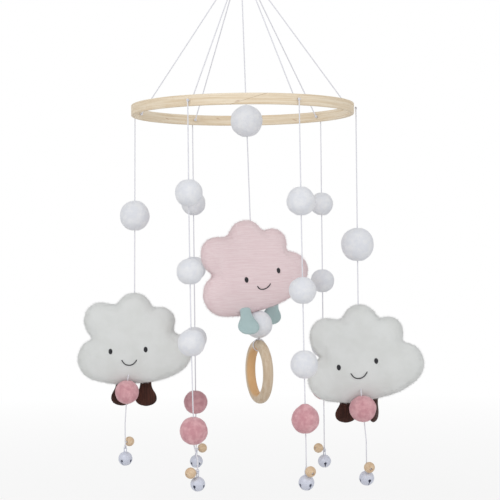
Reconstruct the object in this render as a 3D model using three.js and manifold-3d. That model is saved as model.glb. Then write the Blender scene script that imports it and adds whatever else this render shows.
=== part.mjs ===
// A crib mobile: a bent-wood hoop on six converging cords, with felt balls, three stuffed clouds
// that have dangling legs, wooden beads, jingle bells and a wooden teether ring hanging from it.
// Millimetres, +Z up. The origin is the inside top of the hanging loop, where a crib arm holds it.
import * as THREE from "three";
import { mergeVertices } from "three/addons/utils/BufferGeometryUtils.js";
import Module from "manifold-3d";

const wasm = await Module();
wasm.setup();

// ---------- driving dimensions ----------

const CLEARANCE = 0.3; // air between two pieces that touch on the real mobile
const HANGING_HEIGHT = 184; // from the origin down to the hoop's middle
const APEX_HEIGHT = 154; // from the hoop's middle up to the knot that gathers the six cords

const HOOP_DIAMETER = 230;
const BAND_HEIGHT = 11;
const BAND_THICKNESS = 3.5;
const BAND_CHAMFER = 0.8;
const HOOP_SEGMENTS = 48;

const CORD_DIAMETER = 1.2;
const CORD_SIDES = 8;
const CORD_HOLE_DIAMETER = CORD_DIAMETER + 2 * CLEARANCE;
const HOLE_PASS = 5; // how far a cutting rod runs past the band on each side
const LOOP_CORD_DIAMETER = 1.6;
const LOOP_WIDTH = 12;
const STRING_KNOT_RADIUS = 1.6; // on both faces of the band
const SMALL_KNOT_RADIUS = 1.2; // above a bell, and at the end of a bead's tail
const TOP_KNOT_RADIUS = 2.8;
const LOOP_KNOT_RADIUS = 2.6;

const KNOT_POCKET_DIAMETER = 2 * (SMALL_KNOT_RADIUS + CLEARANCE);
const KNOT_POCKET_DEPTH = 3.2;

const BELL_WALL = 0.6;
const BELL_SLOT_WIDTH = 1.1;
const BELL_SLOT_END_DIAMETER = 3.2;
const BELL_SLOT_END_LATITUDE = -14;
const EYE_WIRE_RADIUS = 0.5;
const EYE_INNER_WIDTH = CORD_DIAMETER + 0.7;
const EYE_STEM = 3.4; // from the shell's top up to the middle of the eye's bow
const EYE_LOOP_RADIUS = EYE_WIRE_RADIUS + CORD_DIAMETER / 2 + CLEARANCE;
const PELLET_DIAMETER = 3.6;
const PELLET_GAP = 0.6;

const CLOUD_THICKNESS = 34;
const CLOUD_RIM = 3.4; // thickness at the seam
const LEG_LENGTH = 27;
const LEG_NECK_WIDTH = 11.6;
const LEG_FOOT_WIDTH = 23.6;
const LEG_THICKNESS = 7;
const LEG_BEVEL = 2.2;
const LEG_TUCK = 9; // how far a leg would reach into the cloud before it is trimmed to its surface

const RING_DIAMETER = 66;
const RING_SECTION = 10.5;

const KNOT_DETAIL = [7, 4]; // segments round and up
const BALL_DETAIL = [11, 5];
const BEAD_DETAIL = [9, 4];
const BELL_DETAIL = [10, 6];
const PELLET_DETAIL = [8, 5];
const EYE_BOW_STEPS = 4;
const RING_DETAIL = [8, 28];
const CORD_STEP = 60; // the longest step along a straight cord

// ---------- finishes ----------

const finish = (color, roughness, metalness = 0) => ({ color, roughness, metalness });
const FINISHES = {
  cord: finish(0xe8e8ec, 0.85),
  hoop_wood: finish(0xd2be9e, 0.6),
  ring_wood: finish(0xc4ac8c, 0.55),
  bead_wood: finish(0xc8aa87, 0.6),
  white_felt: finish(0xdfe2ea, 0.95),
  pink_felt: finish(0xd199a3, 0.95),
  white_plush: finish(0xd8dadb, 0.95),
  pink_plush: finish(0xdcc6c9, 0.95),
  brown_plush: finish(0x3b2622, 0.9),
  mint_plush: finish(0xaabebe, 0.9),
  bell_metal: finish(0xc8cbd8, 0.35, 0.8),
  pellet_metal: finish(0x8d8f96, 0.4, 0.9),
};

// ---------- the strings, measured down from the hoop's middle ----------
// angle: of the string's hole round the hoop, from +X. balls: [name, depth, diameter, felt].
// route: the cord's points below its knot, as [x, y, depth] from the knot.
// tail: the side of the cord that the bead sits on, as an angle from +X.

const STRINGS = [
  {
    name: "left",
    angle: 166.5,
    balls: [["white_ball", 107, 31.5, "white_felt"], ["pink_ball", 291.5, 25, "pink_felt"]],
    route: [[-1.2, 0, 90], [-2.5, 0, 187], [-9.5, -13, 277], [-13, -13, 325]],
    bead: { depth: 344, diameter: 10.2, tail: 62 },
    bell: { depth: 361, diameter: 14.7, turn: -30 },
  },
  {
    name: "right",
    angle: -5,
    balls: [["white_ball", 140, 34, "white_felt"], ["pink_ball", 307, 27, "pink_felt"]],
    route: [[0, 0, 100], [0, 0, 199], [1, -16, 291.5], [5.5, -16, 340]],
    bead: { depth: 365.5, diameter: 11, tail: -75 },
    bell: { depth: 377.5, diameter: 15.2, turn: 20 },
  },
  {
    name: "near_left",
    angle: 243.5,
    balls: [
      ["white_ball_1", 89, 27, "white_felt"],
      ["white_ball_2", 164.5, 26, "white_felt"],
      ["white_ball_3", 233, 26.5, "white_felt"],
      ["pink_ball", 317.5, 27, "pink_felt"],
    ],
    route: [[0, 0, 120], [0.8, 0, 240], [2.4, 0, 332], [5.5, 0, 344]],
    bead: { depth: 357.2, diameter: 10.8, tail: 218 },
    bell: { depth: 368.5, diameter: 14.2, turn: -28 },
  },
  {
    name: "near_right",
    angle: 298,
    balls: [
      ["white_ball_1", 98, 28, "white_felt"],
      ["white_ball_2", 184, 26.6, "white_felt"],
      ["white_ball_3", 255, 27, "white_felt"],
      ["pink_ball", 308, 26.6, "pink_felt"],
    ],
    route: [[0.8, 0, 120], [1.8, 0, 240], [2.8, 0, 335]],
    bead: { depth: 357, diameter: 10.4, tail: -62 },
    bell: { depth: 368.5, diameter: 15.2, turn: 32 },
  },
  {
    name: "far_right",
    angle: 43.5,
    balls: [
      ["white_ball_1", 95, 25, "white_felt"],
      ["white_ball_2", 179, 25.6, "white_felt"],
      ["white_ball_3", 250, 26, "white_felt"],
      ["pink_ball", 296, 26, "pink_felt"],
    ],
    route: [[0, 0, 120], [0, 0, 240], [0, 0, 330]],
    bead: { depth: 361, diameter: 10.5, tail: 215 },
    bell: { depth: 376, diameter: 14.2, turn: 5 },
  },
  {
    name: "far_left",
    angle: 118.7,
    balls: [
      ["white_ball_1", 92, 27, "white_felt"],
      ["white_ball_2", 164, 26.5, "white_felt"],
      ["white_ball_3", 242, 26.5, "white_felt"],
      ["pink_ball", 312.5, 26, "pink_felt"],
    ],
    route: [[0, 0, 120], [0, 0, 240], [0, 0, 335]],
    bead: { depth: 364, diameter: 10.4, tail: 35 },
    bell: { depth: 378, diameter: 14.4, turn: 40 },
  },
];

// The centre cord's points, as [x, y, depth below the hoop's middle]; it starts under the top knot.
const CENTRE = {
  balls: [["white_ball", 11, 33, "white_felt"], ["lower_ball", 221.6, 28, "white_felt"]],
  route: [[0, 0, -150.6], [2.4, 0, -53], [4, 0, 11], [6.5, 0, 110.5], [14, 0, 207], [14, 0, 236.6]],
  ringTurn: 19, // degrees that the teether ring is turned out of the front-to-back plane
};

// centre: of the outline, [x from the upper cord, depth]. tilt: right side up; turn: about Z.
// legs: across the face, behind the seam, the foot's lean back and the turn about Z, in degrees.
const CLOUDS = [
  {
    name: "left",
    centre: [-4.2, 235.8],
    size: [120, 94.4],
    tilt: 2.5,
    turn: 0,
    plush: "white_plush",
    legPlush: "brown_plush",
    legs: [
      { name: "left", across: -15.5, back: 4.2, lean: 6, turn: 0 },
      { name: "right", across: 10, back: 4.2, lean: 6, turn: 0 },
    ],
  },
  {
    name: "right",
    centre: [4, 250.6],
    size: [121, 98],
    tilt: 9,
    turn: 0,
    plush: "white_plush",
    legPlush: "brown_plush",
    legs: [
      { name: "left", across: -24, back: 4.4, lean: 4, turn: 12 },
      { name: "right", across: 6, back: 12.5, lean: 4, turn: 72 },
    ],
  },
  {
    name: "centre",
    centre: [7, 160.4],
    size: [119, 94.6],
    tilt: 15.6,
    turn: 21,
    plush: "pink_plush",
    legPlush: "mint_plush",
    legs: [
      { name: "left", across: -22.5, back: -9, lean: -30, turn: 0 },
      { name: "right", across: 17, back: 10, lean: 26, turn: 0 },
    ],
  },
];

// The cloud's outline is one oval body and five round lobes, as shares of its half width and half height.
const LOBES = [
  { at: [0.04, -0.29], half: [0.8, 0.7] },
  { at: [0.04, 0.58], half: [0.33, 0.42] },
  { at: [-0.56, 0.4], half: [0.3, 0.42] },
  { at: [-0.42, 0.44], half: [0.32, 0.35] },
  { at: [0.49, 0.33], half: [0.27, 0.33] },
  { at: [-0.65, -0.41], half: [0.35, 0.45] },
  { at: [0.68, -0.35], half: [0.32, 0.41] },
];
const LOBE_BLEND = 18; // how sharply the notches between lobes stay
const OUTLINE_POINTS = 38;
const CROWN_RINGS = [1, 0.93, 0.78, 0.45];

// ---------- derived places ----------

const HOOP_Z = -HANGING_HEIGHT;
const APEX_Z = HOOP_Z + APEX_HEIGHT;
const HOOP_RADIUS = HOOP_DIAMETER / 2;
const CORD_RADIUS = CORD_DIAMETER / 2;
const STRING_RADIUS = HOOP_RADIUS + CLEARANCE + STRING_KNOT_RADIUS; // of the circle that the strings hang on
const INNER_KNOT_RADIUS = HOOP_RADIUS - BAND_THICKNESS - CLEARANCE - STRING_KNOT_RADIUS;

// ---------- solids ----------

function solidOf(geometry) {
  const bare = geometry.clone();
  bare.deleteAttribute("normal");
  bare.deleteAttribute("uv");
  const merged = mergeVertices(bare, 1e-4);
  return new wasm.Manifold(
    new wasm.Mesh({
      numProp: 3,
      vertProperties: new Float32Array(merged.attributes.position.array),
      triVerts: new Uint32Array(merged.index.array),
    }),
  );
}

function geometryOf(solid) {
  const mesh = solid.getMesh();
  const geometry = new THREE.BufferGeometry();
  geometry.setAttribute("position", new THREE.BufferAttribute(mesh.vertProperties, 3));
  geometry.setIndex(new THREE.BufferAttribute(mesh.triVerts, 1));
  geometry.computeVertexNormals();
  return geometry;
}

function joined(geometries) {
  return geometryOf(geometries.map(solidOf).reduce((sum, next) => sum.add(next)));
}

function polar(radius, degrees, z) {
  const angle = THREE.MathUtils.degToRad(degrees);
  return new THREE.Vector3(radius * Math.cos(angle), radius * Math.sin(angle), z);
}

// A route of straight runs between points, with each run cut into short steps.
class CordRoute extends THREE.Curve {
  constructor(points) {
    super();
    this.stops = [points[0]];
    for (const point of points.slice(1)) {
      const from = this.stops.at(-1);
      const cuts = Math.ceil(from.distanceTo(point) / CORD_STEP);
      for (let i = 1; i <= cuts; i++) this.stops.push(from.clone().lerp(point, i / cuts));
    }
    this.steps = this.stops.length - 1;
  }

  getPoint(t) {
    const place = Math.min(Math.max(t, 0), 1) * this.steps;
    const i = Math.min(Math.floor(place), this.steps - 1);
    return this.stops[i].clone().lerp(this.stops[i + 1], place - i);
  }

  getPointAt(u) {
    return this.getPoint(u);
  }

  getTangentAt(u) {
    return this.getTangent(u);
  }
}

// A round tube that follows the points.
function tube(points, diameter) {
  const corners = [];
  for (let i = 0; i < CORD_SIDES; i++) {
    const angle = (2 * Math.PI * i) / CORD_SIDES;
    corners.push(new THREE.Vector2((diameter / 2) * Math.cos(angle), (diameter / 2) * Math.sin(angle)));
  }
  const extrudePath = new CordRoute(points);
  const steps = extrudePath.steps;
  return new THREE.ExtrudeGeometry(new THREE.Shape(corners), { steps, bevelEnabled: false, extrudePath });
}

// A straight rod between two points.
function rod(from, to, diameter) {
  const along = to.clone().sub(from);
  const geometry = new THREE.CylinderGeometry(diameter / 2, diameter / 2, along.length(), CORD_SIDES);
  const direction = along.clone().normalize();
  const turn = new THREE.Quaternion().setFromUnitVectors(new THREE.Vector3(0, 1, 0), direction);
  const middle = from.clone().add(to).multiplyScalar(0.5);
  return geometry.applyQuaternion(turn).translate(middle.x, middle.y, middle.z);
}

function knot(at, radius) {
  return new THREE.SphereGeometry(radius, ...KNOT_DETAIL).rotateX(Math.PI / 2).translate(at.x, at.y, at.z);
}

// A ball with a straight bore along Z, as one turned profile. A pocket widens the bore's upper end.
function boredBall(radius, bore, [round, up], pocket = null) {
  const end = Math.acos(bore / radius);
  const start = pocket ? Math.acos(pocket.radius / radius) : end;
  const profile = [];
  for (let i = 0; i <= up; i++) {
    const angle = -end + ((start + end) * i) / up;
    profile.push(new THREE.Vector2(radius * Math.cos(angle), radius * Math.sin(angle)));
  }
  if (pocket) {
    const floor = radius * Math.sin(start) - pocket.depth;
    profile.push(new THREE.Vector2(pocket.radius, floor));
    profile.push(new THREE.Vector2(bore, floor));
  }
  profile.push(profile[0].clone());
  return new THREE.LatheGeometry(profile, round).rotateX(Math.PI / 2);
}

// ---------- placing ----------

const mobile = new THREE.Group();

function add(name, geometry, finishName, parent = mobile) {
  const mesh = new THREE.Mesh(geometry, new THREE.MeshStandardMaterial(FINISHES[finishName]));
  mesh.name = name;
  parent.add(mesh);
  return mesh;
}

// The cord's points below its start, in the part's frame.
function routeOf(start, route) {
  return route.map(([x, y, depth]) => new THREE.Vector3(start.x + x, start.y + y, HOOP_Z - depth));
}

// Where a cord is at a depth, and its direction there.
function onCord(points, depth) {
  const z = HOOP_Z - depth;
  const i = points.findIndex((point, k) => k > 0 && point.z <= z);
  const [above, below] = i > 0 ? [points[i - 1], points[i]] : points.slice(-2);
  const share = (above.z - z) / (above.z - below.z);
  return { at: above.clone().lerp(below, share), along: above.clone().sub(below).normalize() };
}

function addBall(owner, points, [name, depth, diameter, felt]) {
  const { at, along } = onCord(points, depth);
  const ball = add(`${owner}_${name}`, boredBall(diameter / 2, CORD_HOLE_DIAMETER / 2, BALL_DETAIL), felt);
  ball.position.copy(at);
  ball.quaternion.setFromUnitVectors(new THREE.Vector3(0, 0, 1), along);
}

// ---------- hoop and suspension ----------

function hoopGeometry() {
  const [inner, outer] = [HOOP_RADIUS - BAND_THICKNESS, HOOP_RADIUS];
  const half = BAND_HEIGHT / 2;
  const c = BAND_CHAMFER;
  const corners = [
    [inner + c, -half], [outer - c, -half], [outer, -half + c], [outer, half - c],
    [outer - c, half], [inner + c, half], [inner, half - c], [inner, -half + c], [inner + c, -half],
  ];
  const profile = corners.map(([r, z]) => new THREE.Vector2(r, z));
  const band = new THREE.LatheGeometry(profile, HOOP_SEGMENTS).rotateX(Math.PI / 2);
  let solid = solidOf(band);
  for (const { angle } of STRINGS) {
    const from = polar(inner - HOLE_PASS, angle, 0);
    const to = polar(outer + HOLE_PASS, angle, 0);
    const hole = rod(from, to, CORD_HOLE_DIAMETER);
    solid = solid.subtract(solidOf(hole));
  }
  return geometryOf(solid);
}

function suspensionGeometry() {
  const apex = new THREE.Vector3(0, 0, APEX_Z);
  const pieces = [knot(apex, TOP_KNOT_RADIUS)];
  for (const { angle } of STRINGS) {
    const inside = polar(INNER_KNOT_RADIUS, angle, HOOP_Z);
    pieces.push(rod(apex, inside, CORD_DIAMETER));
    pieces.push(knot(inside, STRING_KNOT_RADIUS));
    pieces.push(rod(inside, polar(HOOP_RADIUS - CLEARANCE, angle, HOOP_Z), CORD_DIAMETER));
  }
  return joined(pieces);
}

function hangingLoopGeometry() {
  const r = LOOP_CORD_DIAMETER / 2;
  const knotZ = APEX_Z + TOP_KNOT_RADIUS + CLEARANCE + LOOP_KNOT_RADIUS;
  const half = LOOP_WIDTH / 2;
  const foot = r + CLEARANCE;
  const side = [
    [foot, knotZ], [foot + 0.5, knotZ + 4], [half * 0.72, knotZ / 2], [half, -half * 1.1],
    [half * 0.72, r - half * 0.36],
  ];
  const points = [
    ...side.map(([x, z]) => new THREE.Vector3(x, 0, z)),
    new THREE.Vector3(0, 0, r),
    ...side.toReversed().map(([x, z]) => new THREE.Vector3(-x, 0, z)),
  ];
  const curve = new THREE.CatmullRomCurve3(points, false, "centripetal");
  const loopKnot = knot(new THREE.Vector3(0, 0, knotZ), LOOP_KNOT_RADIUS);
  return joined([tube(curve.getPoints(24), LOOP_CORD_DIAMETER), loopKnot]);
}

add("hanging_loop", hangingLoopGeometry(), "cord");
add("suspension_cords", suspensionGeometry(), "cord");
add("hoop", hoopGeometry(), "hoop_wood").position.z = HOOP_Z;

// ---------- jingle bells ----------

// How far the cord's lowest strand in the eye is above the bell's centre.
function eyeStrandHeight(radius) {
  return radius + EYE_STEM + EYE_INNER_WIDTH / 2 - CLEARANCE - CORD_RADIUS;
}

// A thin shell with a wire eye on top, and two crossed slots below that end in round holes.
// slotTurn: of the slots about Z, from the eye's own turn, in degrees.
function bellGeometry(radius, slotTurn) {
  const facing = THREE.MathUtils.degToRad(slotTurn);
  const ball = (r) => new THREE.SphereGeometry(r, ...BELL_DETAIL).rotateX(Math.PI / 2).rotateZ(facing);
  let shell = solidOf(ball(radius)).subtract(solidOf(ball(radius - BELL_WALL)));
  const latitude = THREE.MathUtils.degToRad(BELL_SLOT_END_LATITUDE);
  const endZ = radius * Math.sin(latitude);
  const endR = radius * Math.cos(latitude);
  for (const turn of [facing, facing + Math.PI / 2]) {
    const slot = new THREE.BoxGeometry(2 * radius + 2, BELL_SLOT_WIDTH, radius + 2);
    slot.translate(0, 0, endZ - radius / 2 - 1).rotateZ(turn);
    const ends = rod(
      new THREE.Vector3(-endR - 2, 0, endZ),
      new THREE.Vector3(endR + 2, 0, endZ),
      BELL_SLOT_END_DIAMETER,
    ).rotateZ(turn);
    shell = shell.subtract(solidOf(slot)).subtract(solidOf(ends));
  }
  const bow = EYE_INNER_WIDTH / 2 + EYE_WIRE_RADIUS;
  const foot = Math.sqrt((radius - BELL_WALL / 2) ** 2 - bow ** 2);
  const middle = radius + EYE_STEM;
  const points = [new THREE.Vector3(0, -bow, foot), new THREE.Vector3(0, -bow, (foot + middle) / 2)];
  for (let i = 0; i <= EYE_BOW_STEPS; i++) {
    const angle = (Math.PI * i) / EYE_BOW_STEPS;
    points.push(new THREE.Vector3(0, -bow * Math.cos(angle), middle + bow * Math.sin(angle)));
  }
  points.push(new THREE.Vector3(0, bow, (foot + middle) / 2), new THREE.Vector3(0, bow, foot));
  return geometryOf(shell.add(solidOf(tube(points, 2 * EYE_WIRE_RADIUS))));
}

function addBell(owner, below, { depth, diameter, turn }, tail) {
  const radius = diameter / 2;
  const bell = new THREE.Group();
  bell.position.set(below.x, below.y, HOOP_Z - depth);
  bell.rotation.z = THREE.MathUtils.degToRad(tail);
  mobile.add(bell);
  add(`${owner}_bell`, bellGeometry(radius, turn - tail), "bell_metal", bell);
  const drop = radius - BELL_WALL - PELLET_GAP - PELLET_DIAMETER / 2;
  const pelletGeometry = new THREE.SphereGeometry(PELLET_DIAMETER / 2, ...PELLET_DETAIL);
  add(`${owner}_bell_pellet`, pelletGeometry, "pellet_metal", bell).position.z = -drop;
}

// ---------- strings ----------

function addString({ name, angle, balls, route, bead, bell }) {
  const start = polar(STRING_RADIUS, angle, HOOP_Z);
  const bellRadius = bell.diameter / 2;
  const strandZ = HOOP_Z - bell.depth + eyeStrandHeight(bellRadius);
  const endKnotZ = strandZ + 2 * EYE_LOOP_RADIUS + SMALL_KNOT_RADIUS / 2;
  const points = [start.clone(), ...routeOf(start, route)];
  const last = points.at(-1);
  const end = new THREE.Vector3(last.x, last.y, endKnotZ);
  points.push(end);

  const beadRadius = bead.diameter / 2;
  const beadOffset = beadRadius + EYE_LOOP_RADIUS + CORD_RADIUS + CLEARANCE;
  const beadCentre = polar(beadOffset, bead.tail, HOOP_Z - bead.depth);
  beadCentre.add(new THREE.Vector3(last.x, last.y, 0));
  const tailStart = new THREE.Vector3(last.x, last.y, Math.max(beadCentre.z, endKnotZ));
  const out = beadCentre.clone().sub(tailStart).normalize();
  const pocketFloor = Math.sqrt(beadRadius ** 2 - (KNOT_POCKET_DIAMETER / 2) ** 2) - KNOT_POCKET_DEPTH;
  const tailEnd = beadCentre.clone().addScaledVector(out, pocketFloor + CLEARANCE + SMALL_KNOT_RADIUS);

  const eyeLoop = new THREE.TorusGeometry(EYE_LOOP_RADIUS, CORD_RADIUS, 6, 12).rotateX(Math.PI / 2);
  eyeLoop.rotateZ(THREE.MathUtils.degToRad(bead.tail));
  eyeLoop.translate(last.x, last.y, strandZ + EYE_LOOP_RADIUS);

  const cordPieces = [tube(points, CORD_DIAMETER), eyeLoop];
  cordPieces.push(knot(start, STRING_KNOT_RADIUS), knot(end, SMALL_KNOT_RADIUS));
  cordPieces.push(rod(tailStart, tailEnd, CORD_DIAMETER), knot(tailEnd, SMALL_KNOT_RADIUS));
  add(`${name}_string`, joined(cordPieces), "cord");

  for (const ball of balls) addBall(name, points, ball);

  const pocket = { radius: KNOT_POCKET_DIAMETER / 2, depth: KNOT_POCKET_DEPTH };
  const beadGeometry = boredBall(beadRadius, CORD_HOLE_DIAMETER / 2, BEAD_DETAIL, pocket);
  const beadMesh = add(`${name}_bead`, beadGeometry, "bead_wood");
  beadMesh.position.copy(beadCentre);
  beadMesh.quaternion.setFromUnitVectors(new THREE.Vector3(0, 0, 1), out);

  addBell(name, last, bell, bead.tail);
  return points;
}

const cords = {};
for (const string of STRINGS) cords[string.name] = addString(string);

// ---------- centre cord and teether ring ----------

function addCentre({ balls, route, ringTurn }) {
  const points = routeOf(new THREE.Vector3(0, 0, 0), route);
  const last = points.at(-1);
  const ringRadius = (RING_DIAMETER - RING_SECTION) / 2;
  const loopRadius = RING_SECTION / 2 + CLEARANCE + CORD_RADIUS;
  const sectionZ = last.z - loopRadius;
  const turn = THREE.MathUtils.degToRad(ringTurn);
  // The cord's end loop goes round the ring's wood, square to the ring.
  const loop = new THREE.TorusGeometry(loopRadius, CORD_RADIUS, 6, 20).rotateX(Math.PI / 2);
  loop.rotateZ(turn).translate(last.x, last.y, sectionZ);
  add("centre_cord", joined([tube(points, CORD_DIAMETER), loop]), "cord");
  for (const ball of balls) addBall("centre", points, ball);
  const ringGeometry = new THREE.TorusGeometry(ringRadius, RING_SECTION / 2, ...RING_DETAIL);
  const ring = add("teether_ring", ringGeometry.rotateY(Math.PI / 2), "ring_wood");
  ring.rotation.z = turn;
  ring.position.set(last.x, last.y, sectionZ - ringRadius);
  return points;
}

cords.centre = addCentre(CENTRE);

// ---------- clouds ----------

// How far the cloud's outline is from its middle in a direction: the lobes' smooth union.
function outlineRadius(angle, halfWidth, halfHeight) {
  const [ux, uz] = [Math.cos(angle), Math.sin(angle)];
  let sum = 0;
  for (const { at, half } of LOBES) {
    const a = half[0] * halfWidth;
    const b = half[1] * halfHeight;
    const [cx, cz] = [at[0] * halfWidth, at[1] * halfHeight];
    const qa = (ux / a) ** 2 + (uz / b) ** 2;
    const qb = (ux * cx) / a ** 2 + (uz * cz) / b ** 2;
    const qc = (cx / a) ** 2 + (cz / b) ** 2 - 1;
    const root = qb ** 2 - qa * qc;
    if (root > 0) sum += Math.max(0, (qb + Math.sqrt(root)) / qa) ** LOBE_BLEND;
  }
  return sum ** (1 / LOBE_BLEND);
}

// A crowned cushion: rings of the outline that shrink and swell to the front and to the back.
// grow swells the whole cushion, to cut clear of its surface.
function cushionGeometry([width, height], grow = 0) {
  const position = [];
  const index = [];
  const rings = [];
  const half = CLOUD_THICKNESS / 2 + grow;
  const rim = CLOUD_RIM / 2 + grow;
  const layers = [
    ...CROWN_RINGS.toReversed().map((share) => [share, -1]),
    ...CROWN_RINGS.map((share) => [share, 1]),
  ];
  for (const [share, side] of layers) {
    const y = side * (rim + (half - rim) * Math.sqrt(1 - share ** 2));
    const ring = [];
    for (let i = 0; i < OUTLINE_POINTS; i++) {
      const angle = (2 * Math.PI * i) / OUTLINE_POINTS;
      const r = share * outlineRadius(angle, width / 2, height / 2) + grow;
      ring.push(position.length / 3);
      position.push(r * Math.cos(angle), y, r * Math.sin(angle));
    }
    rings.push(ring);
  }
  const front = position.length / 3;
  position.push(0, -half, 0, 0, half, 0);
  for (let i = 0; i < OUTLINE_POINTS; i++) {
    const next = (i + 1) % OUTLINE_POINTS;
    index.push(front, rings[0][i], rings[0][next], front + 1, rings.at(-1)[next], rings.at(-1)[i]);
    for (let k = 1; k < rings.length; k++) {
      const [a, b, c, d] = [rings[k - 1][i], rings[k - 1][next], rings[k][i], rings[k][next]];
      index.push(a, c, b, b, c, d);
    }
  }
  const geometry = new THREE.BufferGeometry();
  geometry.setAttribute("position", new THREE.Float32BufferAttribute(position, 3));
  geometry.setIndex(index);
  return geometry;
}

// A boot-shaped leg, from its tucked-in top down to its sole, with its nominal top at the origin.
function legGeometry() {
  const neck = LEG_NECK_WIDTH / 2 - LEG_BEVEL;
  const foot = LEG_FOOT_WIDTH / 2 - LEG_BEVEL;
  const sole = -LEG_LENGTH + LEG_BEVEL;
  const [knee, ankle, widest] = [-LEG_LENGTH * 0.5, -LEG_LENGTH * 0.48, -LEG_LENGTH * 0.7];
  const outline = new THREE.Shape();
  outline.moveTo(-neck, LEG_TUCK);
  outline.lineTo(-neck, -2);
  outline.bezierCurveTo(-neck, knee, -foot, ankle, -foot, widest);
  outline.bezierCurveTo(-foot, sole + 2, -foot * 0.6, sole, 0, sole);
  outline.bezierCurveTo(foot * 0.6, sole, foot, sole + 2, foot, widest);
  outline.bezierCurveTo(foot, ankle, neck, knee, neck, -2);
  outline.lineTo(neck, LEG_TUCK);
  outline.closePath();
  const core = LEG_THICKNESS - 2 * LEG_BEVEL;
  const leg = new THREE.ExtrudeGeometry(outline, {
    depth: core,
    bevelThickness: LEG_BEVEL,
    bevelSize: LEG_BEVEL,
    bevelSegments: 2,
    curveSegments: 4,
  });
  return leg.translate(0, 0, -core / 2).rotateX(Math.PI / 2);
}

// The point of the lower seam that is so far across the cloud's face.
function seamBelow(across, [width, height]) {
  let angle = -Math.PI / 2;
  for (let i = 0; i < 8; i++) {
    const r = outlineRadius(angle, width / 2, height / 2);
    angle = -Math.acos(THREE.MathUtils.clamp(across / r, -1, 1));
  }
  const r = outlineRadius(angle, width / 2, height / 2);
  return new THREE.Vector3(r * Math.cos(angle), 0, r * Math.sin(angle));
}

// The two bends of a cord that its straight run through a cloud joins.
function runInside(cord, depth, height) {
  const z = HOOP_Z - depth;
  const above = cord.filter((point) => point.z > z + height / 3).at(-1);
  const below = cord.find((point) => point.z < z - height / 3);
  return [above, below];
}

function addCloud({ name, centre, size, tilt, turn, plush, legPlush, legs }) {
  const [above, below] = runInside(cords[name], centre[1], size[1]);
  const cloudX = name === "centre" ? centre[0] : above.x + centre[0];
  const facing = new THREE.Group();
  facing.position.set(cloudX, above.y, HOOP_Z - centre[1]);
  facing.rotation.z = THREE.MathUtils.degToRad(turn);
  const tilted = new THREE.Group();
  tilted.rotation.y = -THREE.MathUtils.degToRad(tilt);
  mobile.add(facing);
  facing.add(tilted);
  tilted.updateWorldMatrix(true, false);

  const [entry, exit] = [above, below].map((point) => tilted.worldToLocal(point.clone()));
  const past = exit.clone().sub(entry).multiplyScalar(0.1);
  const bore = rod(entry.clone().sub(past), exit.clone().add(past), CORD_HOLE_DIAMETER);
  const cushion = geometryOf(solidOf(cushionGeometry(size)).subtract(solidOf(bore)));
  add(`${name}_cloud`, cushion, plush, tilted);

  // Each leg hangs plumb from the seam, and is trimmed to the cushion's surface.
  const keepOut = solidOf(cushionGeometry(size, 1.5 * CLEARANCE).applyMatrix4(tilted.matrix));
  for (const leg of legs) {
    const hang = seamBelow(leg.across, size).applyMatrix4(tilted.matrix);
    const boot = legGeometry().rotateX(THREE.MathUtils.degToRad(leg.lean));
    boot.rotateZ(THREE.MathUtils.degToRad(leg.turn)).translate(hang.x, leg.back, hang.z);
    const trimmed = geometryOf(solidOf(boot).subtract(keepOut));
    add(`${name}_cloud_${leg.name}_leg`, trimmed, legPlush, facing);
  }
}

for (const cloud of CLOUDS) addCloud(cloud);

export default mobile;
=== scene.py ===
# %% [markdown]
# # A crib mobile
# A bent-wood hoop hangs on six cords from one loop. Under it hang felt balls, three stuffed clouds with
# dangling legs, wooden beads, jingle bells and a wooden teether ring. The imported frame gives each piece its
# place and says which body it moves with. This lesson gives every piece its visible shape and its finish.

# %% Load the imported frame
import math

import bpy
import numpy as np
from mathutils import Matrix, Vector, noise
from mathutils.bvhtree import BVHTree


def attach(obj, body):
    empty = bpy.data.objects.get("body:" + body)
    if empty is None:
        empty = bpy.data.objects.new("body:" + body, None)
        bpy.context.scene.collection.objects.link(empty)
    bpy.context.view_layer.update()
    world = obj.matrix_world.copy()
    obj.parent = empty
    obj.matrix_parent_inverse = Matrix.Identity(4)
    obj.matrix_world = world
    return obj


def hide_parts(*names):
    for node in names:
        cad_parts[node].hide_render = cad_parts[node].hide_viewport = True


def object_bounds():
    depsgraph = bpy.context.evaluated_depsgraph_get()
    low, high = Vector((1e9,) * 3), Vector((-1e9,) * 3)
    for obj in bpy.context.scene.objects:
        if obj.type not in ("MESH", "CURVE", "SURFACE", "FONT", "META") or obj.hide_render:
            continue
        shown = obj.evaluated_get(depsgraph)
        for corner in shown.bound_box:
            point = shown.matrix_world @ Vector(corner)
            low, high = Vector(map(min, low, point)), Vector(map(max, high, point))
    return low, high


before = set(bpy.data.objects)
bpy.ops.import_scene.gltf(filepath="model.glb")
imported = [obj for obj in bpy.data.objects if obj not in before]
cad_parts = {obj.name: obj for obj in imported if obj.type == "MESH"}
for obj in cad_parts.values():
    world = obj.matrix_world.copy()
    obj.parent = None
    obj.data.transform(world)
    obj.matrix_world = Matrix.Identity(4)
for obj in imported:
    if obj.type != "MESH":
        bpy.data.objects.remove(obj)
CAD_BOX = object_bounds()
MM = 0.001

# %% [markdown]
# ## Camera
# A hanging thing is best seen level with its middle and from well back, so that upright cords stay upright. A
# wide lens from near by would spread the outer strings; a 100 mm lens from 1.44 m keeps them parallel. The
# camera is rolled by well under a degree, as a hand-set tripod leaves it.

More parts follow.
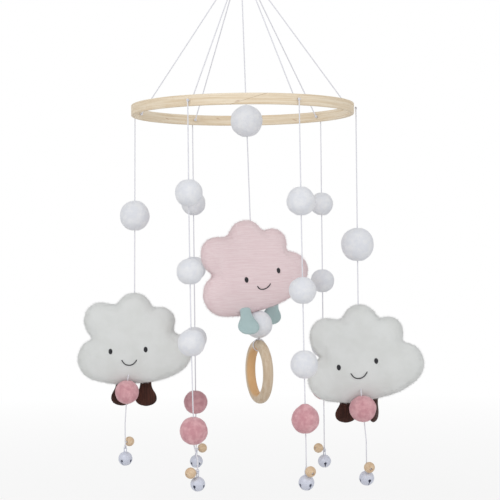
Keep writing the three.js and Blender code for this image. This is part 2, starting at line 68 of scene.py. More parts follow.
# %% Camera
HOOP_Z = -184.0
CAMERA_PLACE = Vector((6.0, -1437.5, HOOP_Z - 144.5)) * MM
CAMERA_ROLL = -0.65
camera_data = bpy.data.cameras.new("studio_camera")
camera_data.lens = 100
camera_data.sensor_width = 36
camera = bpy.data.objects.new("studio_camera", camera_data)
bpy.context.scene.collection.objects.link(camera)
level = Matrix.Rotation(math.radians(90), 4, "X")
roll = Matrix.Rotation(math.radians(CAMERA_ROLL), 4, "Z")
camera.matrix_world = Matrix.Translation(CAMERA_PLACE) @ level @ roll
bpy.context.scene.camera = camera
print("camera at", tuple(round(v, 3) for v in CAMERA_PLACE))

# %% [markdown]
# ## Shader maths as expressions
# A procedural finish is a sum of small patterns. Wiring nodes by hand hides the sum, so a Value wraps one
# socket and turns Python's operators into Math nodes. A Graph is a node tree that one method adds any other
# node to; the world and the floor use it too. A Finish is the graph of one material.


# %% Values, graphs and finishes
class Value:
    """One number, colour or vector that flows out of a node."""

    def __init__(self, graph, socket):
        self.graph = graph
        self.socket = socket

    def maths(self, operation, *inputs):
        return self.graph.node("ShaderNodeMath", {"operation": operation}, dict(enumerate(inputs)))

    def __add__(self, other):
        return self.maths("ADD", self, other)

    def __sub__(self, other):
        return self.maths("SUBTRACT", self, other)

    def __rsub__(self, other):
        return self.maths("SUBTRACT", other, self)

    def __mul__(self, other):
        return self.maths("MULTIPLY", self, other)

    def __pow__(self, other):
        return self.maths("POWER", self, other)

    def __abs__(self):
        return self.maths("ABSOLUTE", self)

    __radd__ = __add__
    __rmul__ = __mul__


class Graph:
    """A node tree that starts empty."""

    def __init__(self, tree):
        self.tree = tree
        self.tree.nodes.clear()

    def node(self, kind, settings=None, inputs=None, output=0):
        """Adds a node with its settings and its inputs, and gives one output, if it has any."""
        made = self.tree.nodes.new(kind)
        for name, value in (settings or {}).items():
            setattr(made, name, value)
        for name, value in (inputs or {}).items():
            if isinstance(value, Value):
                self.tree.links.new(value.socket, made.inputs[name])
            else:
                made.inputs[name].default_value = value
        return Value(self, made.outputs[output]) if made.outputs else None


class Finish(Graph):
    """A procedural material. Its patterns live in each piece's own millimetres."""

    def __init__(self, name):
        self.material = bpy.data.materials.new(name)
        self.material.use_nodes = True
        super().__init__(self.material.node_tree)
        self.own = self.node("ShaderNodeAttribute", {"attribute_name": "own"}, output="Vector")

    def noise(self, scale, detail=3.0, vector=None, distortion=0.0, roughness=0.55):
        inputs = {"Vector": vector or self.own, "Scale": scale, "Detail": detail}
        inputs |= {"Distortion": distortion, "Roughness": roughness}
        return self.node("ShaderNodeTexNoise", {}, inputs, "Fac")

    def stretched(self, x, y, z, vector=None):
        """The piece's own coordinates, scaled apart, to draw a pattern out along one of them."""
        inputs = {0: vector or self.own, 1: (x, y, z)}
        return self.node("ShaderNodeVectorMath", {"operation": "MULTIPLY"}, inputs, "Vector")

    def steps(self, value, low, high):
        """0 below low and 1 above high, with a smooth rise between them."""
        settings = {"interpolation_type": "SMOOTHSTEP"}
        return self.node("ShaderNodeMapRange", settings, {"Value": value, "From Min": low, "From Max": high})

    def mix(self, share, first, second):
        first = first if isinstance(first, Value) else (*first, 1.0)
        second = second if isinstance(second, Value) else (*second, 1.0)
        return self.node("ShaderNodeMix", {"data_type": "RGBA"}, {0: share, 6: first, 7: second}, 2)

    def bump(self, height, depth_mm, strength=1.0):
        inputs = {"Height": height, "Strength": strength, "Distance": depth_mm * MM}
        return self.node("ShaderNodeBump", {}, inputs, "Normal")

    def surface(self, colour, roughness, normal, **constants):
        """Ends the finish with a Principled shader, and gives the material."""
        inputs = {"Base Color": colour, "Roughness": roughness, "Normal": normal}
        inputs |= {name.replace("_", " "): value for name, value in constants.items()}
        shader = self.node("ShaderNodeBsdfPrincipled", {}, inputs, "BSDF")
        self.node("ShaderNodeOutputMaterial", {}, {"Surface": shader})
        return self.material


def tint(red, green, blue):
    """A colour as it is seen on a screen, 0 to 255, as the linear colour that a shader takes."""
    return tuple(((c / 255 + 0.055) / 1.055) ** 2.4 if c > 10 else c / 3294 for c in (red, green, blue))


# %% [markdown]
# ## Felt
# The balls are rolled from wet wool until the fibres lock. Up close that is a matte, slightly cloudy surface
# with curled hairs in it. An image texture would repeat on every ball; noise in each ball's own millimetres
# does not. A little sheen stands for the loose hairs that catch light at the edge.


# %% Felt finishes
def felt_finish(name, body, fleck, pale):
    felt = Finish(name)
    clouds = felt.noise(0.16, 2.0)
    wool = felt.noise(0.9, 5.0, distortion=1.6, roughness=0.7)
    hairs = felt.noise(3.2, 4.0, vector=felt.stretched(1.0, 1.0, 0.35), distortion=2.5, roughness=0.75)
    worked = felt.mix(felt.steps(clouds, 0.35, 0.7), body, pale)
    colour = felt.mix(felt.steps(wool * 0.6 + hairs * 0.4, 0.48, 0.68) * 0.55, worked, fleck)
    bumped = felt.bump(wool * 0.7 + hairs * 0.3, 0.55, 0.7)
    return felt.surface(
        colour, 0.86 + 0.12 * clouds, bumped, Sheen_Weight=0.25, Sheen_Roughness=0.6, Specular_IOR_Level=0.2
    )


WHITE_FELT = felt_finish("white_felt", tint(230, 232, 238), tint(214, 217, 226), tint(238, 239, 242))
PINK_FELT = felt_finish("pink_felt", tint(207, 150, 158), tint(172, 104, 117), tint(228, 178, 183))
print("felt:", WHITE_FELT.name, PINK_FELT.name)

# %% [markdown]
# ## Plush, knit and ribbed velvet
# The two white clouds are short plush, the pink cloud is a fine knit with faint sideways courses, and the
# legs are velvet: dark brown with ribs down the leg, or mint. Real pile could be hair particles, but they
# export badly, so the pile is a fine bump with sheen, and a fringe of real fibres is added to the mesh later.


# %% Plush, knit and velvet finishes
def plush_finish(name, body, shade, rib_scale=0.0, rib_share=0.0, sheen=0.3, depth=0.5):
    plush = Finish(name)
    patches = plush.noise(0.06, 2.0)
    pile = plush.noise(1.5, 5.0, distortion=0.8, roughness=0.75)
    height = pile
    share = plush.steps(patches, 0.3, 0.75) * 0.45 + plush.steps(pile, 0.45, 0.8) * 0.4
    if rib_scale:
        bent = plush.stretched(rib_scale, 0.12, 0.06)
        ribs = plush.noise(1.0, 2.0, vector=bent, distortion=0.35)
        share = share + plush.steps(ribs, 0.42, 0.62) * rib_share
        height = pile * 0.4 + ribs * 0.6
    colour = plush.mix(share, body, shade)
    bumped = plush.bump(height, depth, 0.6)
    return plush.surface(
        colour, 0.84 + 0.14 * pile, bumped, Sheen_Weight=sheen, Sheen_Roughness=0.45, Specular_IOR_Level=0.2
    )


KNIT_SLANT = -15.6  # the pink cloud hangs tilted by this much, while its courses stay level


def knit_finish(name, body, shade):
    knit = Finish(name)
    level = knit.node(
        "ShaderNodeVectorRotate",
        {"rotation_type": "Y_AXIS"},
        {"Vector": knit.own, "Angle": math.radians(KNIT_SLANT)},
        "Vector",
    )
    drawn = knit.stretched(0.05, 0.3, 1.1, level)
    courses = knit.noise(1.0, 2.5, vector=drawn, distortion=0.4, roughness=0.7)
    loops = knit.noise(1.7, 4.0, roughness=0.8)
    share = knit.steps(courses, 0.36, 0.66) * 0.65 + knit.steps(loops, 0.4, 0.75) * 0.35
    bumped = knit.bump(courses * 0.5 + loops * 0.5, 0.5, 0.6)
    return knit.surface(
        knit.mix(share, body, shade), 0.84 + 0.12 * loops, bumped, Sheen_Weight=0.3, Specular_IOR_Level=0.2
    )


WHITE_PLUSH = plush_finish("white_plush", tint(225, 227, 226), tint(212, 214, 211), sheen=0.55)
PINK_PLUSH = knit_finish("pink_plush", tint(238, 219, 221), tint(228, 203, 206))
BROWN_PLUSH = plush_finish("brown_plush", tint(50, 30, 26), tint(84, 50, 41), 0.9, 0.5, 0.12, 0.8)
MINT_PLUSH = plush_finish("mint_plush", tint(184, 206, 207), tint(163, 189, 190), 0.0, 0.0, 0.3, 0.6)

# %% [markdown]
# ## Thread
# The eyes and the smile are stitched with glossy dark thread. Each stitch is modelled later, so the finish
# only needs the fine twist of the thread.


# %% Thread and cord finishes
def twisted_finish(name, body, shade, pitch, roughness, sheen):
    thread = Finish(name)
    strands = thread.noise(pitch, 3.0, vector=thread.stretched(1.0, 1.0, 0.3), roughness=0.7)
    fluff = thread.noise(pitch * 3.0, 2.0)
    colour = thread.mix(thread.steps(strands, 0.4, 0.7), body, shade)
    bumped = thread.bump(strands * 0.6 + fluff * 0.4, 0.12, 0.6)
    return thread.surface(colour, roughness + 0.1 * fluff, bumped, Sheen_Weight=sheen)


DARK_THREAD = twisted_finish("dark_thread", tint(18, 18, 24), tint(36, 36, 44), 3.0, 0.4, 0.0)
WHITE_CORD = twisted_finish("cord", tint(232, 232, 238), tint(212, 213, 222), 2.2, 0.82, 0.3)


# %% [markdown]
# ## Wood
# The hoop is a thin strip of pale wood, steamed round a drum and glued at a long slanted scarf. Its grain
# runs round the hoop, so the pattern is drawn in distance round the rim, height and depth, and it is cut and
# restarted at the scarf, where a fine glue line shows. The ring and the beads are turned from solid beech:
# straight grain passes through them, with the short dark flecks that beech has.


# %% Wood finishes
def beech_finish(name, pale, dark, fleck, grain, painted_shade_radius=0.0):
    beech = Finish(name)
    lines = beech.noise(1.0, 4.0, vector=beech.stretched(grain, grain * 0.5, 0.03), distortion=0.25)
    fine = beech.noise(1.0, 3.0, vector=beech.stretched(grain * 4, grain * 4, 0.15), roughness=0.7)
    rays = beech.noise(1.0, 1.0, vector=beech.stretched(2.4, 1.2, 0.35))
    wood = beech.mix(beech.steps(lines, 0.32, 0.68), pale, dark)
    flecked = beech.mix(beech.steps(rays, 0.62, 0.72) * 0.4, wood, fleck)
    # Painted shade: round a ring's hole, its inner side is coloured a darker, warmer brown, standing in for
    # the shade that falls there.
    if painted_shade_radius:
        y, z = (beech.node("ShaderNodeSeparateXYZ", {}, {0: beech.own}, axis) for axis in "YZ")
        inner_painted_shade = beech.steps(painted_shade_radius + 3.0 - (y * y + z * z) ** 0.5, 0.0, 3.0)
        flecked = beech.mix(inner_painted_shade * 0.85, flecked, tint(214, 168, 114))
    bumped = beech.bump(fine * 0.6 + lines * 0.4, 0.08, 0.5)
    return beech.surface(flecked, 0.5 + 0.16 * fine, bumped, Specular_IOR_Level=0.35)


HOOP_RADIUS = 115.0
SCARF_ANGLE = math.radians(-86.1)  # round the hoop from +X, at mid height
SCARF_SLOPE = 3.33  # how far the glue line runs along the hoop for each millimetre of height
SCARF_HEIGHT = 0.3
# The knots in the hoop's wood: how far round from the scarf, height and size.
HOOP_KNOTS = [(-3.6, -2.3, 0.9), (150.0, 1.5, 0.9), (298.0, -1.6, 1.1), (377.0, 2.0, 0.9), (452.0, -0.5, 1.0)]


def hoop_finish():
    hoop = Finish("hoop_wood")
    x, y, z = (hoop.node("ShaderNodeSeparateXYZ", {}, {0: hoop.own}, axis) for axis in "XYZ")
    radius = (x * x + y * y) ** 0.5
    angle = y.maths("ARCTAN2", y, x) - SCARF_ANGLE
    slanted = angle * HOOP_RADIUS - (z - SCARF_HEIGHT) * SCARF_SLOPE
    round_hoop = slanted.maths("WRAP", slanted, 2 * math.pi * HOOP_RADIUS, 0.0)
    place = hoop.node("ShaderNodeCombineXYZ", {}, {"X": round_hoop * 0.016, "Y": z * 0.55, "Z": radius * 0.6})
    broad = hoop.noise(1.0, 4.0, vector=place, distortion=0.3)
    fibre_place = hoop.node(
        "ShaderNodeCombineXYZ", {}, {"X": round_hoop * 0.09, "Y": z * 3.2, "Z": radius * 3.2}
    )
    fibres = hoop.noise(1.0, 3.0, vector=fibre_place, roughness=0.7)
    stains = hoop.noise(0.035, 3.0)
    wood = hoop.mix(hoop.steps(broad, 0.3, 0.7), tint(241, 228, 206), tint(222, 202, 172))
    wood = hoop.mix(hoop.steps(fibres, 0.52, 0.78) * 0.55, wood, tint(189, 158, 118))
    wood = hoop.mix(hoop.steps(stains, 0.6, 0.8) * 0.35, wood, tint(203, 172, 132))
    length = 2 * math.pi * HOOP_RADIUS
    for along, height, size in HOOP_KNOTS:
        across = abs(round_hoop - along % length) * 0.6
        rise = abs(z - height)
        spot = hoop.steps((across * across + rise * rise) ** 0.5, size * 0.35, size)
        wood = hoop.mix(spot * 0.7 + 0.3, tint(160, 104, 76), wood)
    glue = hoop.steps(round_hoop, 0.2, 0.7) * (1 - hoop.steps(round_hoop, length - 0.7, length - 0.2))
    wood = hoop.mix(glue * 0.75 + 0.25, tint(140, 108, 74), wood)
    bumped = hoop.bump(fibres * 0.5 + glue * 0.5, 0.12, 0.5)
    return hoop.surface(wood, 0.52 + 0.14 * fibres, bumped, Specular_IOR_Level=0.3)


HOOP_WOOD = hoop_finish()
# The ring's finish paints shade on its inner side, round the hole.
RING_WOOD = beech_finish(
    "ring_wood", tint(214, 197, 174), tint(200, 178, 151), tint(178, 148, 114), 0.42, painted_shade_radius=24.0
)
BEAD_WOOD = beech_finish("bead_wood", tint(226, 202, 172), tint(211, 181, 147), tint(184, 143, 104), 0.8)

# %% [markdown]
# ## Metal
# The bells are steel under a pearly white lacquer with fine scuffs. A painted shell is only partly metallic,
# so a low Metallic under a clear coat stands for it. The pellet inside is bare steel, dulled by rattling.


# %% Metal finishes
def bell_finish():
    pearl = Finish("bell_metal")
    orange_peel = pearl.noise(0.7, 2.0)
    scuffs = pearl.noise(1.0, 4.0, vector=pearl.stretched(1.2, 1.2, 0.5), distortion=1.0, roughness=0.75)
    colour = pearl.mix(pearl.steps(scuffs, 0.5, 0.8) * 0.2, tint(206, 210, 224), tint(188, 190, 204))
    bumped = pearl.bump(orange_peel, 0.05, 0.4)
    return pearl.surface(
        colour, 0.4 + 0.16 * scuffs, bumped, Metallic=0.1, Coat_Weight=0.25, Coat_Roughness=0.3
    )


def pellet_finish():
    steel = Finish("pellet_metal")
    wear = steel.noise(1.4, 4.0, roughness=0.7)
    colour = steel.mix(wear, tint(96, 98, 104), tint(150, 152, 158))
    return steel.surface(colour, 0.35 + 0.3 * wear, steel.bump(wear, 0.06, 0.5), Metallic=0.9)


BELL_METAL = bell_finish()
PELLET_METAL = pellet_finish()
print("finishes:", len(bpy.data.materials))

# %% [markdown]
# ## Making pieces
# Every piece is built in millimetres about its own middle, then placed. Its own coordinates are kept on the
# mesh, so that grain and felt stay with a piece when it swings. Each gets a shift of its own, so that no two
# balls match.


# %% Helpers for pieces
def turned(angle_x=0.0, angle_y=0.0, angle_z=0.0):
    """Turns about X, then Y, then Z, in degrees."""
    return (
        Matrix.Rotation(math.radians(angle_z), 4, "Z")
        @ Matrix.Rotation(math.radians(angle_y), 4, "Y")
        @ Matrix.Rotation(math.radians(angle_x), 4, "X")
    )


def moved(x, y, z):
    return Matrix.Translation((x, y, z))


def pointing(direction):
    """The turn that takes +Z to a direction."""
    return Vector((0, 0, 1)).rotation_difference(Vector(direction)).to_matrix().to_4x4()


def made_mesh(name, points, faces, place=None, finish=None, seed=0):
    """A mesh object in the row's frame, from points in millimetres and a place."""
    own = np.array(points, float).reshape(-1, 3)
    transform = np.array(place if place is not None else Matrix.Identity(4), float)
    world = (own @ transform[:3, :3].T + transform[:3, 3]) * MM
    mesh = bpy.data.meshes.new(name)
    mesh.from_pydata(world.tolist(), [], faces)
    mesh.validate()
    remember_own(mesh, own, seed)
    mesh.polygons.foreach_set("use_smooth", [True] * len(mesh.polygons))
    if finish is not None:
        mesh.materials.append(finish)
    made = bpy.data.objects.new(name, mesh)
    bpy.context.scene.collection.objects.link(made)
    return made


def remember_own(mesh, own, seed):
    shift = np.random.default_rng(seed).uniform(-400, 400, 3) if seed else np.zeros(3)
    kept = mesh.attributes.get("own") or mesh.attributes.new("own", "FLOAT_VECTOR", "POINT")
    kept.data.foreach_set("vector", (own + shift).astype(np.float32).ravel())


def ring_faces(rings, count, closed_along=False):
    """Quads between rings of points that follow each other."""
    faces = []
    for i in range(rings if closed_along else rings - 1):
        here = i * count
        there = ((i + 1) % rings) * count
        for j in range(count):
            after = (j + 1) % count
            faces.append((here + j, here + after, there + after, there + j))
    return faces


def capped(faces, rings, count):
    """The same tube with a flat cap at each end."""
    first = tuple(range(count))[::-1]
    last = tuple(range((rings - 1) * count, rings * count))
    return [*faces, first, last]


def smoothed_route(points, step=1.0, reach=5.0):
    """Points every step along straight runs, with each bend eased over a short reach."""
    points = np.array(points, float)
    lengths = np.linalg.norm(np.diff(points, axis=0), axis=1)
    along = np.concatenate([[0], np.cumsum(lengths)])
    places = np.linspace(0, along[-1], max(3, int(along[-1] / step) + 1))
    line = np.stack([np.interp(places, along, points[:, k]) for k in range(3)], axis=1)
    half = max(1, int(reach / step / 2))
    eased = line.copy()
    for i in range(1, len(line) - 1):
        spread = min(half, i, len(line) - 1 - i)
        eased[i] = line[i - spread : i + spread + 1].mean(axis=0)
    return eased


def round_section(diameter, sides):
    """The profile of a round wire or drill, the same all along."""
    around = np.linspace(0, 2 * math.pi, sides, endpoint=False)
    ring = np.stack([np.cos(around), np.sin(around)], axis=1) * diameter / 2
    return lambda i, s: ring


def swept(line, profile, closed=False):
    """Rings of a profile carried along a line without twist. profile(i, s) gives offsets across it."""
    line = np.array(line, float)
    ahead = np.roll(line, -1, axis=0) - np.roll(line, 1, axis=0)
    if not closed:
        ahead[0] = line[1] - line[0]
        ahead[-1] = line[-1] - line[-2]
    ahead /= np.linalg.norm(ahead, axis=1)[:, None]
    side = np.cross(ahead[0], (0.0, 1.0, 0.0) if abs(ahead[0][1]) < 0.9 else (1.0, 0.0, 0.0))
    side /= np.linalg.norm(side)
    points = []
    distance = 0.0
    for i, (at, direction) in enumerate(zip(line, ahead)):
        if i:
            distance += np.linalg.norm(at - line[i - 1])
        side = side - direction * (side @ direction)
        side /= np.linalg.norm(side)
        other = np.cross(direction, side)
        offsets = profile(i, distance)
        points.extend(at + offsets[:, :1] * side + offsets[:, 1:] * other)
    count = len(offsets)
    faces = ring_faces(len(line), count, closed_along=closed)
    return np.array(points), faces if closed else capped(faces, len(line), count)


# %% [markdown]
# ## Cords
# The cord is white cotton, three strands laid round each other. A plain tube shows no lay, and three separate
# strands would triple the mesh, so one tube has a three-lobed section that turns as it goes. Each cord's real
# length is measured and printed. The routes are those that the frame was made with.


# %% The cord's section and the cord maker
CORD = 1.2
LAY_PITCH = 4.2
SECTION_SIDES = 12


def cord_profile(diameter, pitch=LAY_PITCH, lobes=3, depth=0.1):
    around = np.linspace(0, 2 * math.pi, SECTION_SIDES, endpoint=False)

    def profile(_, distance):
        wave = np.abs(np.cos((around - 2 * math.pi * distance / pitch / lobes) * lobes / 2))
        radius = diameter / 2 * (1 - depth + depth * 1.3 * wave)
        return np.stack([radius * np.cos(around), radius * np.sin(around)], axis=1)

    return profile


def cord_piece(name, route, body, diameter=CORD, step=0.7, eased=5.0):
    line = smoothed_route(route, step, eased)
    made = made_mesh(name, *swept(line, cord_profile(diameter)), finish=WHITE_CORD, seed=len(name))
    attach(made, body)
    return made, line


def loop_piece(name, radius, place, body, seed, points):
    """A small closed loop of cord, standing upright about Y."""
    around = np.linspace(0, 2 * math.pi, points, endpoint=False)
    ring = np.stack([radius * np.cos(around), 0 * around, radius * np.sin(around)], axis=1)
    made = made_mesh(name, *swept(ring, cord_profile(CORD), closed=True), place, WHITE_CORD, seed)
    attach(made, body)
    return made


def declared(line):
    """Measures a cord's length along its line, in metres."""
    length = float(np.linalg.norm(np.diff(line, axis=0), axis=1).sum()) * MM
    few = line[np.linspace(0, len(line) - 1, 40).astype(int)] * MM
    return length


def knot_piece(name, at, radius, body, strand=None, flatten=0.85, turn=0.0):
    """An overhand knot: a trefoil of the same cord, pulled tight."""
    strand = strand or radius * 0.46
    reach = radius - strand / 2
    turns = np.linspace(0, 2 * math.pi, 72, endpoint=False)
    middle = reach * 0.56
    swing = reach * 0.44
    line = np.stack(
        [
            (middle + swing * np.cos(3 * turns)) * np.cos(2 * turns),
            (middle + swing * np.cos(3 * turns)) * np.sin(2 * turns),
            flatten * swing * 1.5 * np.sin(3 * turns),
        ],
        axis=1,
    )
    section = cord_profile(strand * 1.25, depth=0.08)
    place = moved(*at) @ turned(90, 0, turn)
    points, faces = swept(line, section, closed=True)
    made = made_mesh(name, points, faces, place, WHITE_CORD, seed=len(name) + 3)
    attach(made, body)
    return made


# %% [markdown]
# ## Loop, gathering knot and the six upper cords
# A short loop on top goes over the hook of a crib arm. Six cords come down from one knot to the inside of the
# hoop, where each goes out through a drilled hole between two small knots.

# %% Upper cords
APEX_Z = HOOP_Z + 154.0
TOP_KNOT = 2.8
LOOP_KNOT = 2.6
LOOP_CORD = 1.6
BAND = 3.5
BAND_HEIGHT = 11.0
GAP = 0.3
FACE_KNOT = 1.6
CORD_START = 0.012  # the upper cords start this share of the way down, inside the gathering knot
INNER_KNOT_RADIUS = HOOP_RADIUS - BAND - GAP - FACE_KNOT
STRING_RADIUS = HOOP_RADIUS + GAP + FACE_KNOT
STRING_ANGLES = {
    "left": 166.5,
    "right": -5.0,
    "near_left": 243.5,
    "near_right": 298.0,
    "far_right": 43.5,
    "far_left": 118.7,
}


def polar(radius, degrees, z):
    angle = math.radians(degrees)
    return np.array([radius * math.cos(angle), radius * math.sin(angle), z])


top_knot = knot_piece("gathering_knot", (0, 0, APEX_Z), TOP_KNOT, "hoop_frame", flatten=1.1)
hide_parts("suspension_cords")
for owner, angle in STRING_ANGLES.items():
    inside = polar(INNER_KNOT_RADIUS, angle, HOOP_Z)
    start = np.array([0, 0, APEX_Z]) + (inside - [0, 0, APEX_Z]) * CORD_START
    upper, line = cord_piece(f"{owner}_upper_cord", [start, inside], "hoop_frame", step=1.0)
    inner_knot = knot_piece(f"{owner}_inner_knot", inside, FACE_KNOT, "hoop_frame", turn=angle + 90)
    stub_line = [inside, polar(HOOP_RADIUS - GAP, angle, HOOP_Z)]
    stub, _ = cord_piece(f"{owner}_hoop_pass", stub_line, "hoop_frame", step=0.6)
    length = declared(line)
    print(f"{owner} upper cord {length:.3f} m")

# %% Hanging loop
knot_z = APEX_Z + TOP_KNOT + GAP + LOOP_KNOT
loop_half = 6.0
loop_foot = LOOP_CORD / 2 + GAP
side_points = [
    (loop_foot, knot_z),
    (loop_foot + 0.5, knot_z + 4),
    (loop_half * 0.72, knot_z / 2),
    (loop_half, -loop_half * 1.1),
    (loop_half * 0.72, LOOP_CORD / 2 - loop_half * 0.36),
]
loop_points = [(x, 0, z) for x, z in side_points] + [(0, 0, LOOP_CORD / 2)]
loop_points += [(-x, 0, z) for x, z in side_points[::-1]]


def curved(points, count):
    """A smooth line through the points, by Catmull and Rom's blend."""
    points = np.array(points, float)
    padded = np.vstack([2 * points[0] - points[1], points, 2 * points[-1] - points[-2]])
    line = []
    for t in np.linspace(0, len(points) - 1 - 1e-9, count):
        i = int(t)
        u = t - i
        a, b, c, d = padded[i : i + 4]
        bend = 2 * a - 5 * b + 4 * c - d
        twist = 3 * b - a - 3 * c + d
        line.append(0.5 * (2 * b + (c - a) * u + bend * u**2 + twist * u**3))
    return np.array(line)


loop_route = curved(loop_points, 90)
hanging_loop, loop_line = cord_piece("hanging_loop_cord", loop_route, "hanging_loop", LOOP_CORD, 0.7, 2.0)
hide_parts("hanging_loop")
loop_knot = knot_piece("loop_knot", (0, 0, knot_z), LOOP_KNOT, "hanging_loop", flatten=1.1)
print(f"loop {declared(loop_line):.3f} m")

# %% [markdown]
# ## Hoop
# The band is 11 mm tall and 3.5 mm thick, with its edges just broken by sandpaper. It is lathed from a
# rounded section in fine steps, and the six cord holes are real: a drill is subtracted from the band.


# %% Hoop band
def rounded_section(inner, outer, half, radius, steps=4):
    corners = [(outer, half, 0), (inner, half, 90), (inner, -half, 180), (outer, -half, 270)]
    section = []
    for x, z, start in corners:
        centre_x = x - radius if x == outer else x + radius
        centre_z = z - radius if z > 0 else z + radius
        for i in range(steps + 1):
            angle = math.radians(start + 90 * i / steps)
            section.append((centre_x + radius * math.cos(angle), centre_z + radius * math.sin(angle)))
    return section


def lathed(section, segments):
    """A closed section carried round Z."""
    points = []
    for i in range(segments):
        angle = 2 * math.pi * i / segments
        points += [(x * math.cos(angle), x * math.sin(angle), z) for x, z in section]
    faces = ring_faces(segments, len(section), closed_along=True)
    return np.array(points), [face[::-1] for face in faces]


def subtract(target, cutters):
    """Cuts meshes out of a mesh, and keeps its own coordinates."""
    for cutter in cutters:
        step = target.modifiers.new("cut", "BOOLEAN")
        step.operation = "DIFFERENCE"
        step.solver = "EXACT"
        step.object = cutter
        done = bpy.data.meshes.new_from_object(target.evaluated_get(bpy.context.evaluated_depsgraph_get()))
        target.modifiers.clear()
        target.data = done
    for cutter in cutters:
        bpy.data.objects.remove(cutter)


DRILL = 1.8
EDGE_ROUND = 0.9
hoop_points, hoop_faces = lathed(
    rounded_section(HOOP_RADIUS - BAND, HOOP_RADIUS, BAND_HEIGHT / 2, EDGE_ROUND), 240
)
hoop = made_mesh("hoop_band", hoop_points, hoop_faces, moved(0, 0, HOOP_Z), HOOP_WOOD)
drills = []
for angle in STRING_ANGLES.values():
    way = [polar(HOOP_RADIUS - BAND - 3, angle, HOOP_Z), polar(HOOP_RADIUS + 3, angle, HOOP_Z)]
    drills.append(made_mesh("drill", *swept(way, round_section(DRILL, 24))))
subtract(hoop, drills)
drilled = np.array([v.co for v in hoop.data.vertices]) / MM - (0, 0, HOOP_Z)
remember_own(hoop.data, drilled, 0)
hoop.data.set_sharp_from_angle(angle=math.radians(40))
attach(hoop, "hoop_frame")
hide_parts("hoop")
print("hoop faces:", len(hoop.data.polygons))

# %% [markdown]
# ## Felt balls
# A hand-rolled ball is never quite round, and its surface is a little lumpy. Each starts as a turned ball
# with a real bore for the cord, noise moves its skin, and short loose fibres are rooted in it. A subdivided
# cube would do too, but a turned form gives the bore for nothing.


# %% Fibres
def rooted_fibres(points, faces, count, length, width, seed, lean=0.8):
    """Fine three-sided hairs, spread evenly over a surface and leaning at random."""
    rng = np.random.default_rng(seed)
    triangles = []
    for face in faces:
        triangles += [(face[0], face[k], face[k + 1]) for k in range(1, len(face) - 1)]
    a, b, c = (points[np.array(triangles)[:, k]] for k in range(3))
    normal = np.cross(b - a, c - a)
    area = np.linalg.norm(normal, axis=1)
    chosen = rng.choice(len(area), count, p=area / area.sum())
    u, v = rng.random((2, count, 1))
    flip = u + v > 1
    u, v = np.where(flip, 1 - u, u), np.where(flip, 1 - v, v)
    root = a[chosen] + u * (b - a)[chosen] + v * (c - a)[chosen]
    out = normal[chosen] / area[chosen][:, None]
    drift = rng.normal(size=(count, 3))
    drift -= out * (drift * out).sum(axis=1)[:, None]
    drift /= np.linalg.norm(drift, axis=1)[:, None]
    tall = length * rng.uniform(0.45, 1.0, (count, 1))
    slant = lean * rng.uniform(0.2, 1.0, (count, 1))
    tip = root + tall * (out + slant * drift) / np.sqrt(1 + slant**2)
    across = np.cross(out, drift)
    sunk = root - 0.3 * out
    feet = [sunk + width / 2 * (math.cos(t) * drift + math.sin(t) * across) for t in (0.0, 2.094, 4.189)]
    hairs = np.stack([*feet, tip], axis=1).reshape(-1, 3)
    found = []
    for i in range(0, 4 * count, 4):
        found += [(i, i + 1, i + 3), (i + 1, i + 2, i + 3), (i + 2, i, i + 3), (i + 2, i + 1, i)]
    return hairs, found


def joined(parts):
    """Several point-and-face sets as one."""
    points, faces, start = [], [], 0
    for some_points, some_faces in parts:
        points.append(np.array(some_points, float))
        faces += [tuple(start + k for k in face) for face in some_faces]
        start += len(some_points)
    return np.vstack(points), faces


# %% The ball maker
BORE = CORD / 2 + GAP
BALL_WOOL = {"count": 700, "length": 1.1, "width": 0.09}


def ball_shape(radius, seed, peak=0.0, around=44, up=30):
    """A bored ball, a little lumpy, with an optional pulled-up top."""
    end = math.acos(BORE / radius)
    section = []
    for i in range(up + 1):
        angle = -end + 2 * end * i / up
        section.append((radius * math.cos(angle), radius * math.sin(angle)))
    top = section[-1][1]
    section += [(BORE, top * share) for share in (0.6, 0.2, -0.2, -0.6)]
    points, faces = lathed(section, around)
    rng = np.random.default_rng(seed)
    shift = Vector(rng.uniform(-50, 50, 3))
    squash = 1 + rng.uniform(-0.018, 0.018, 3)
    for k, point in enumerate(points):
        distance = np.linalg.norm(point)
        from_axis = math.hypot(point[0], point[1])
        outer = min(1.0, max(0.0, (from_axis - BORE) / 2.5))
        lump = noise.noise(Vector(point) / 9 + shift) * 0.45 + noise.noise(Vector(point) / 3.2 + shift) * 0.16
        dimple = 0.7 * math.exp(-((from_axis / 2.4) ** 2))
        point += point / distance * (lump * outer - dimple * (distance > radius * 0.95))
        if point[2] > 0 and peak:
            point[2] += peak * math.exp(-((math.hypot(point[0], point[1]) / (radius * 0.42)) ** 2))
        points[k] = point * squash
    return points, faces


def ball_piece(name, body, at, along, radius, finish, seed, peak=0.0):
    points, faces = ball_shape(radius, seed, peak)
    outer = [f for f in faces if min(math.hypot(*points[k][:2]) for k in f) > 2.2]
    hairs = rooted_fibres(points, outer, seed=seed, **BALL_WOOL)
    place = moved(*at) @ pointing(along)
    made = made_mesh(name, *joined([(points, faces), hairs]), place, finish, seed)
    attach(made, body)
    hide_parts(name.replace("felt_", ""))
    return made


# %% [markdown]
# ## Beads and bells
# A bead is a turned beech ball with a wide mouth where the cord's end knot sits. A jingle bell is pressed
# from thin steel: two crossed slots let the sound out, and a wire eye on top takes the cord. The shell is
# lathed with its real wall and the slots are cut through it, so the pellet shows inside.


# %% Bead and bell makers
EYE_LOOP = 1.4
END_KNOT = 1.2
POCKET = END_KNOT + GAP
POCKET_DEPTH = 3.2


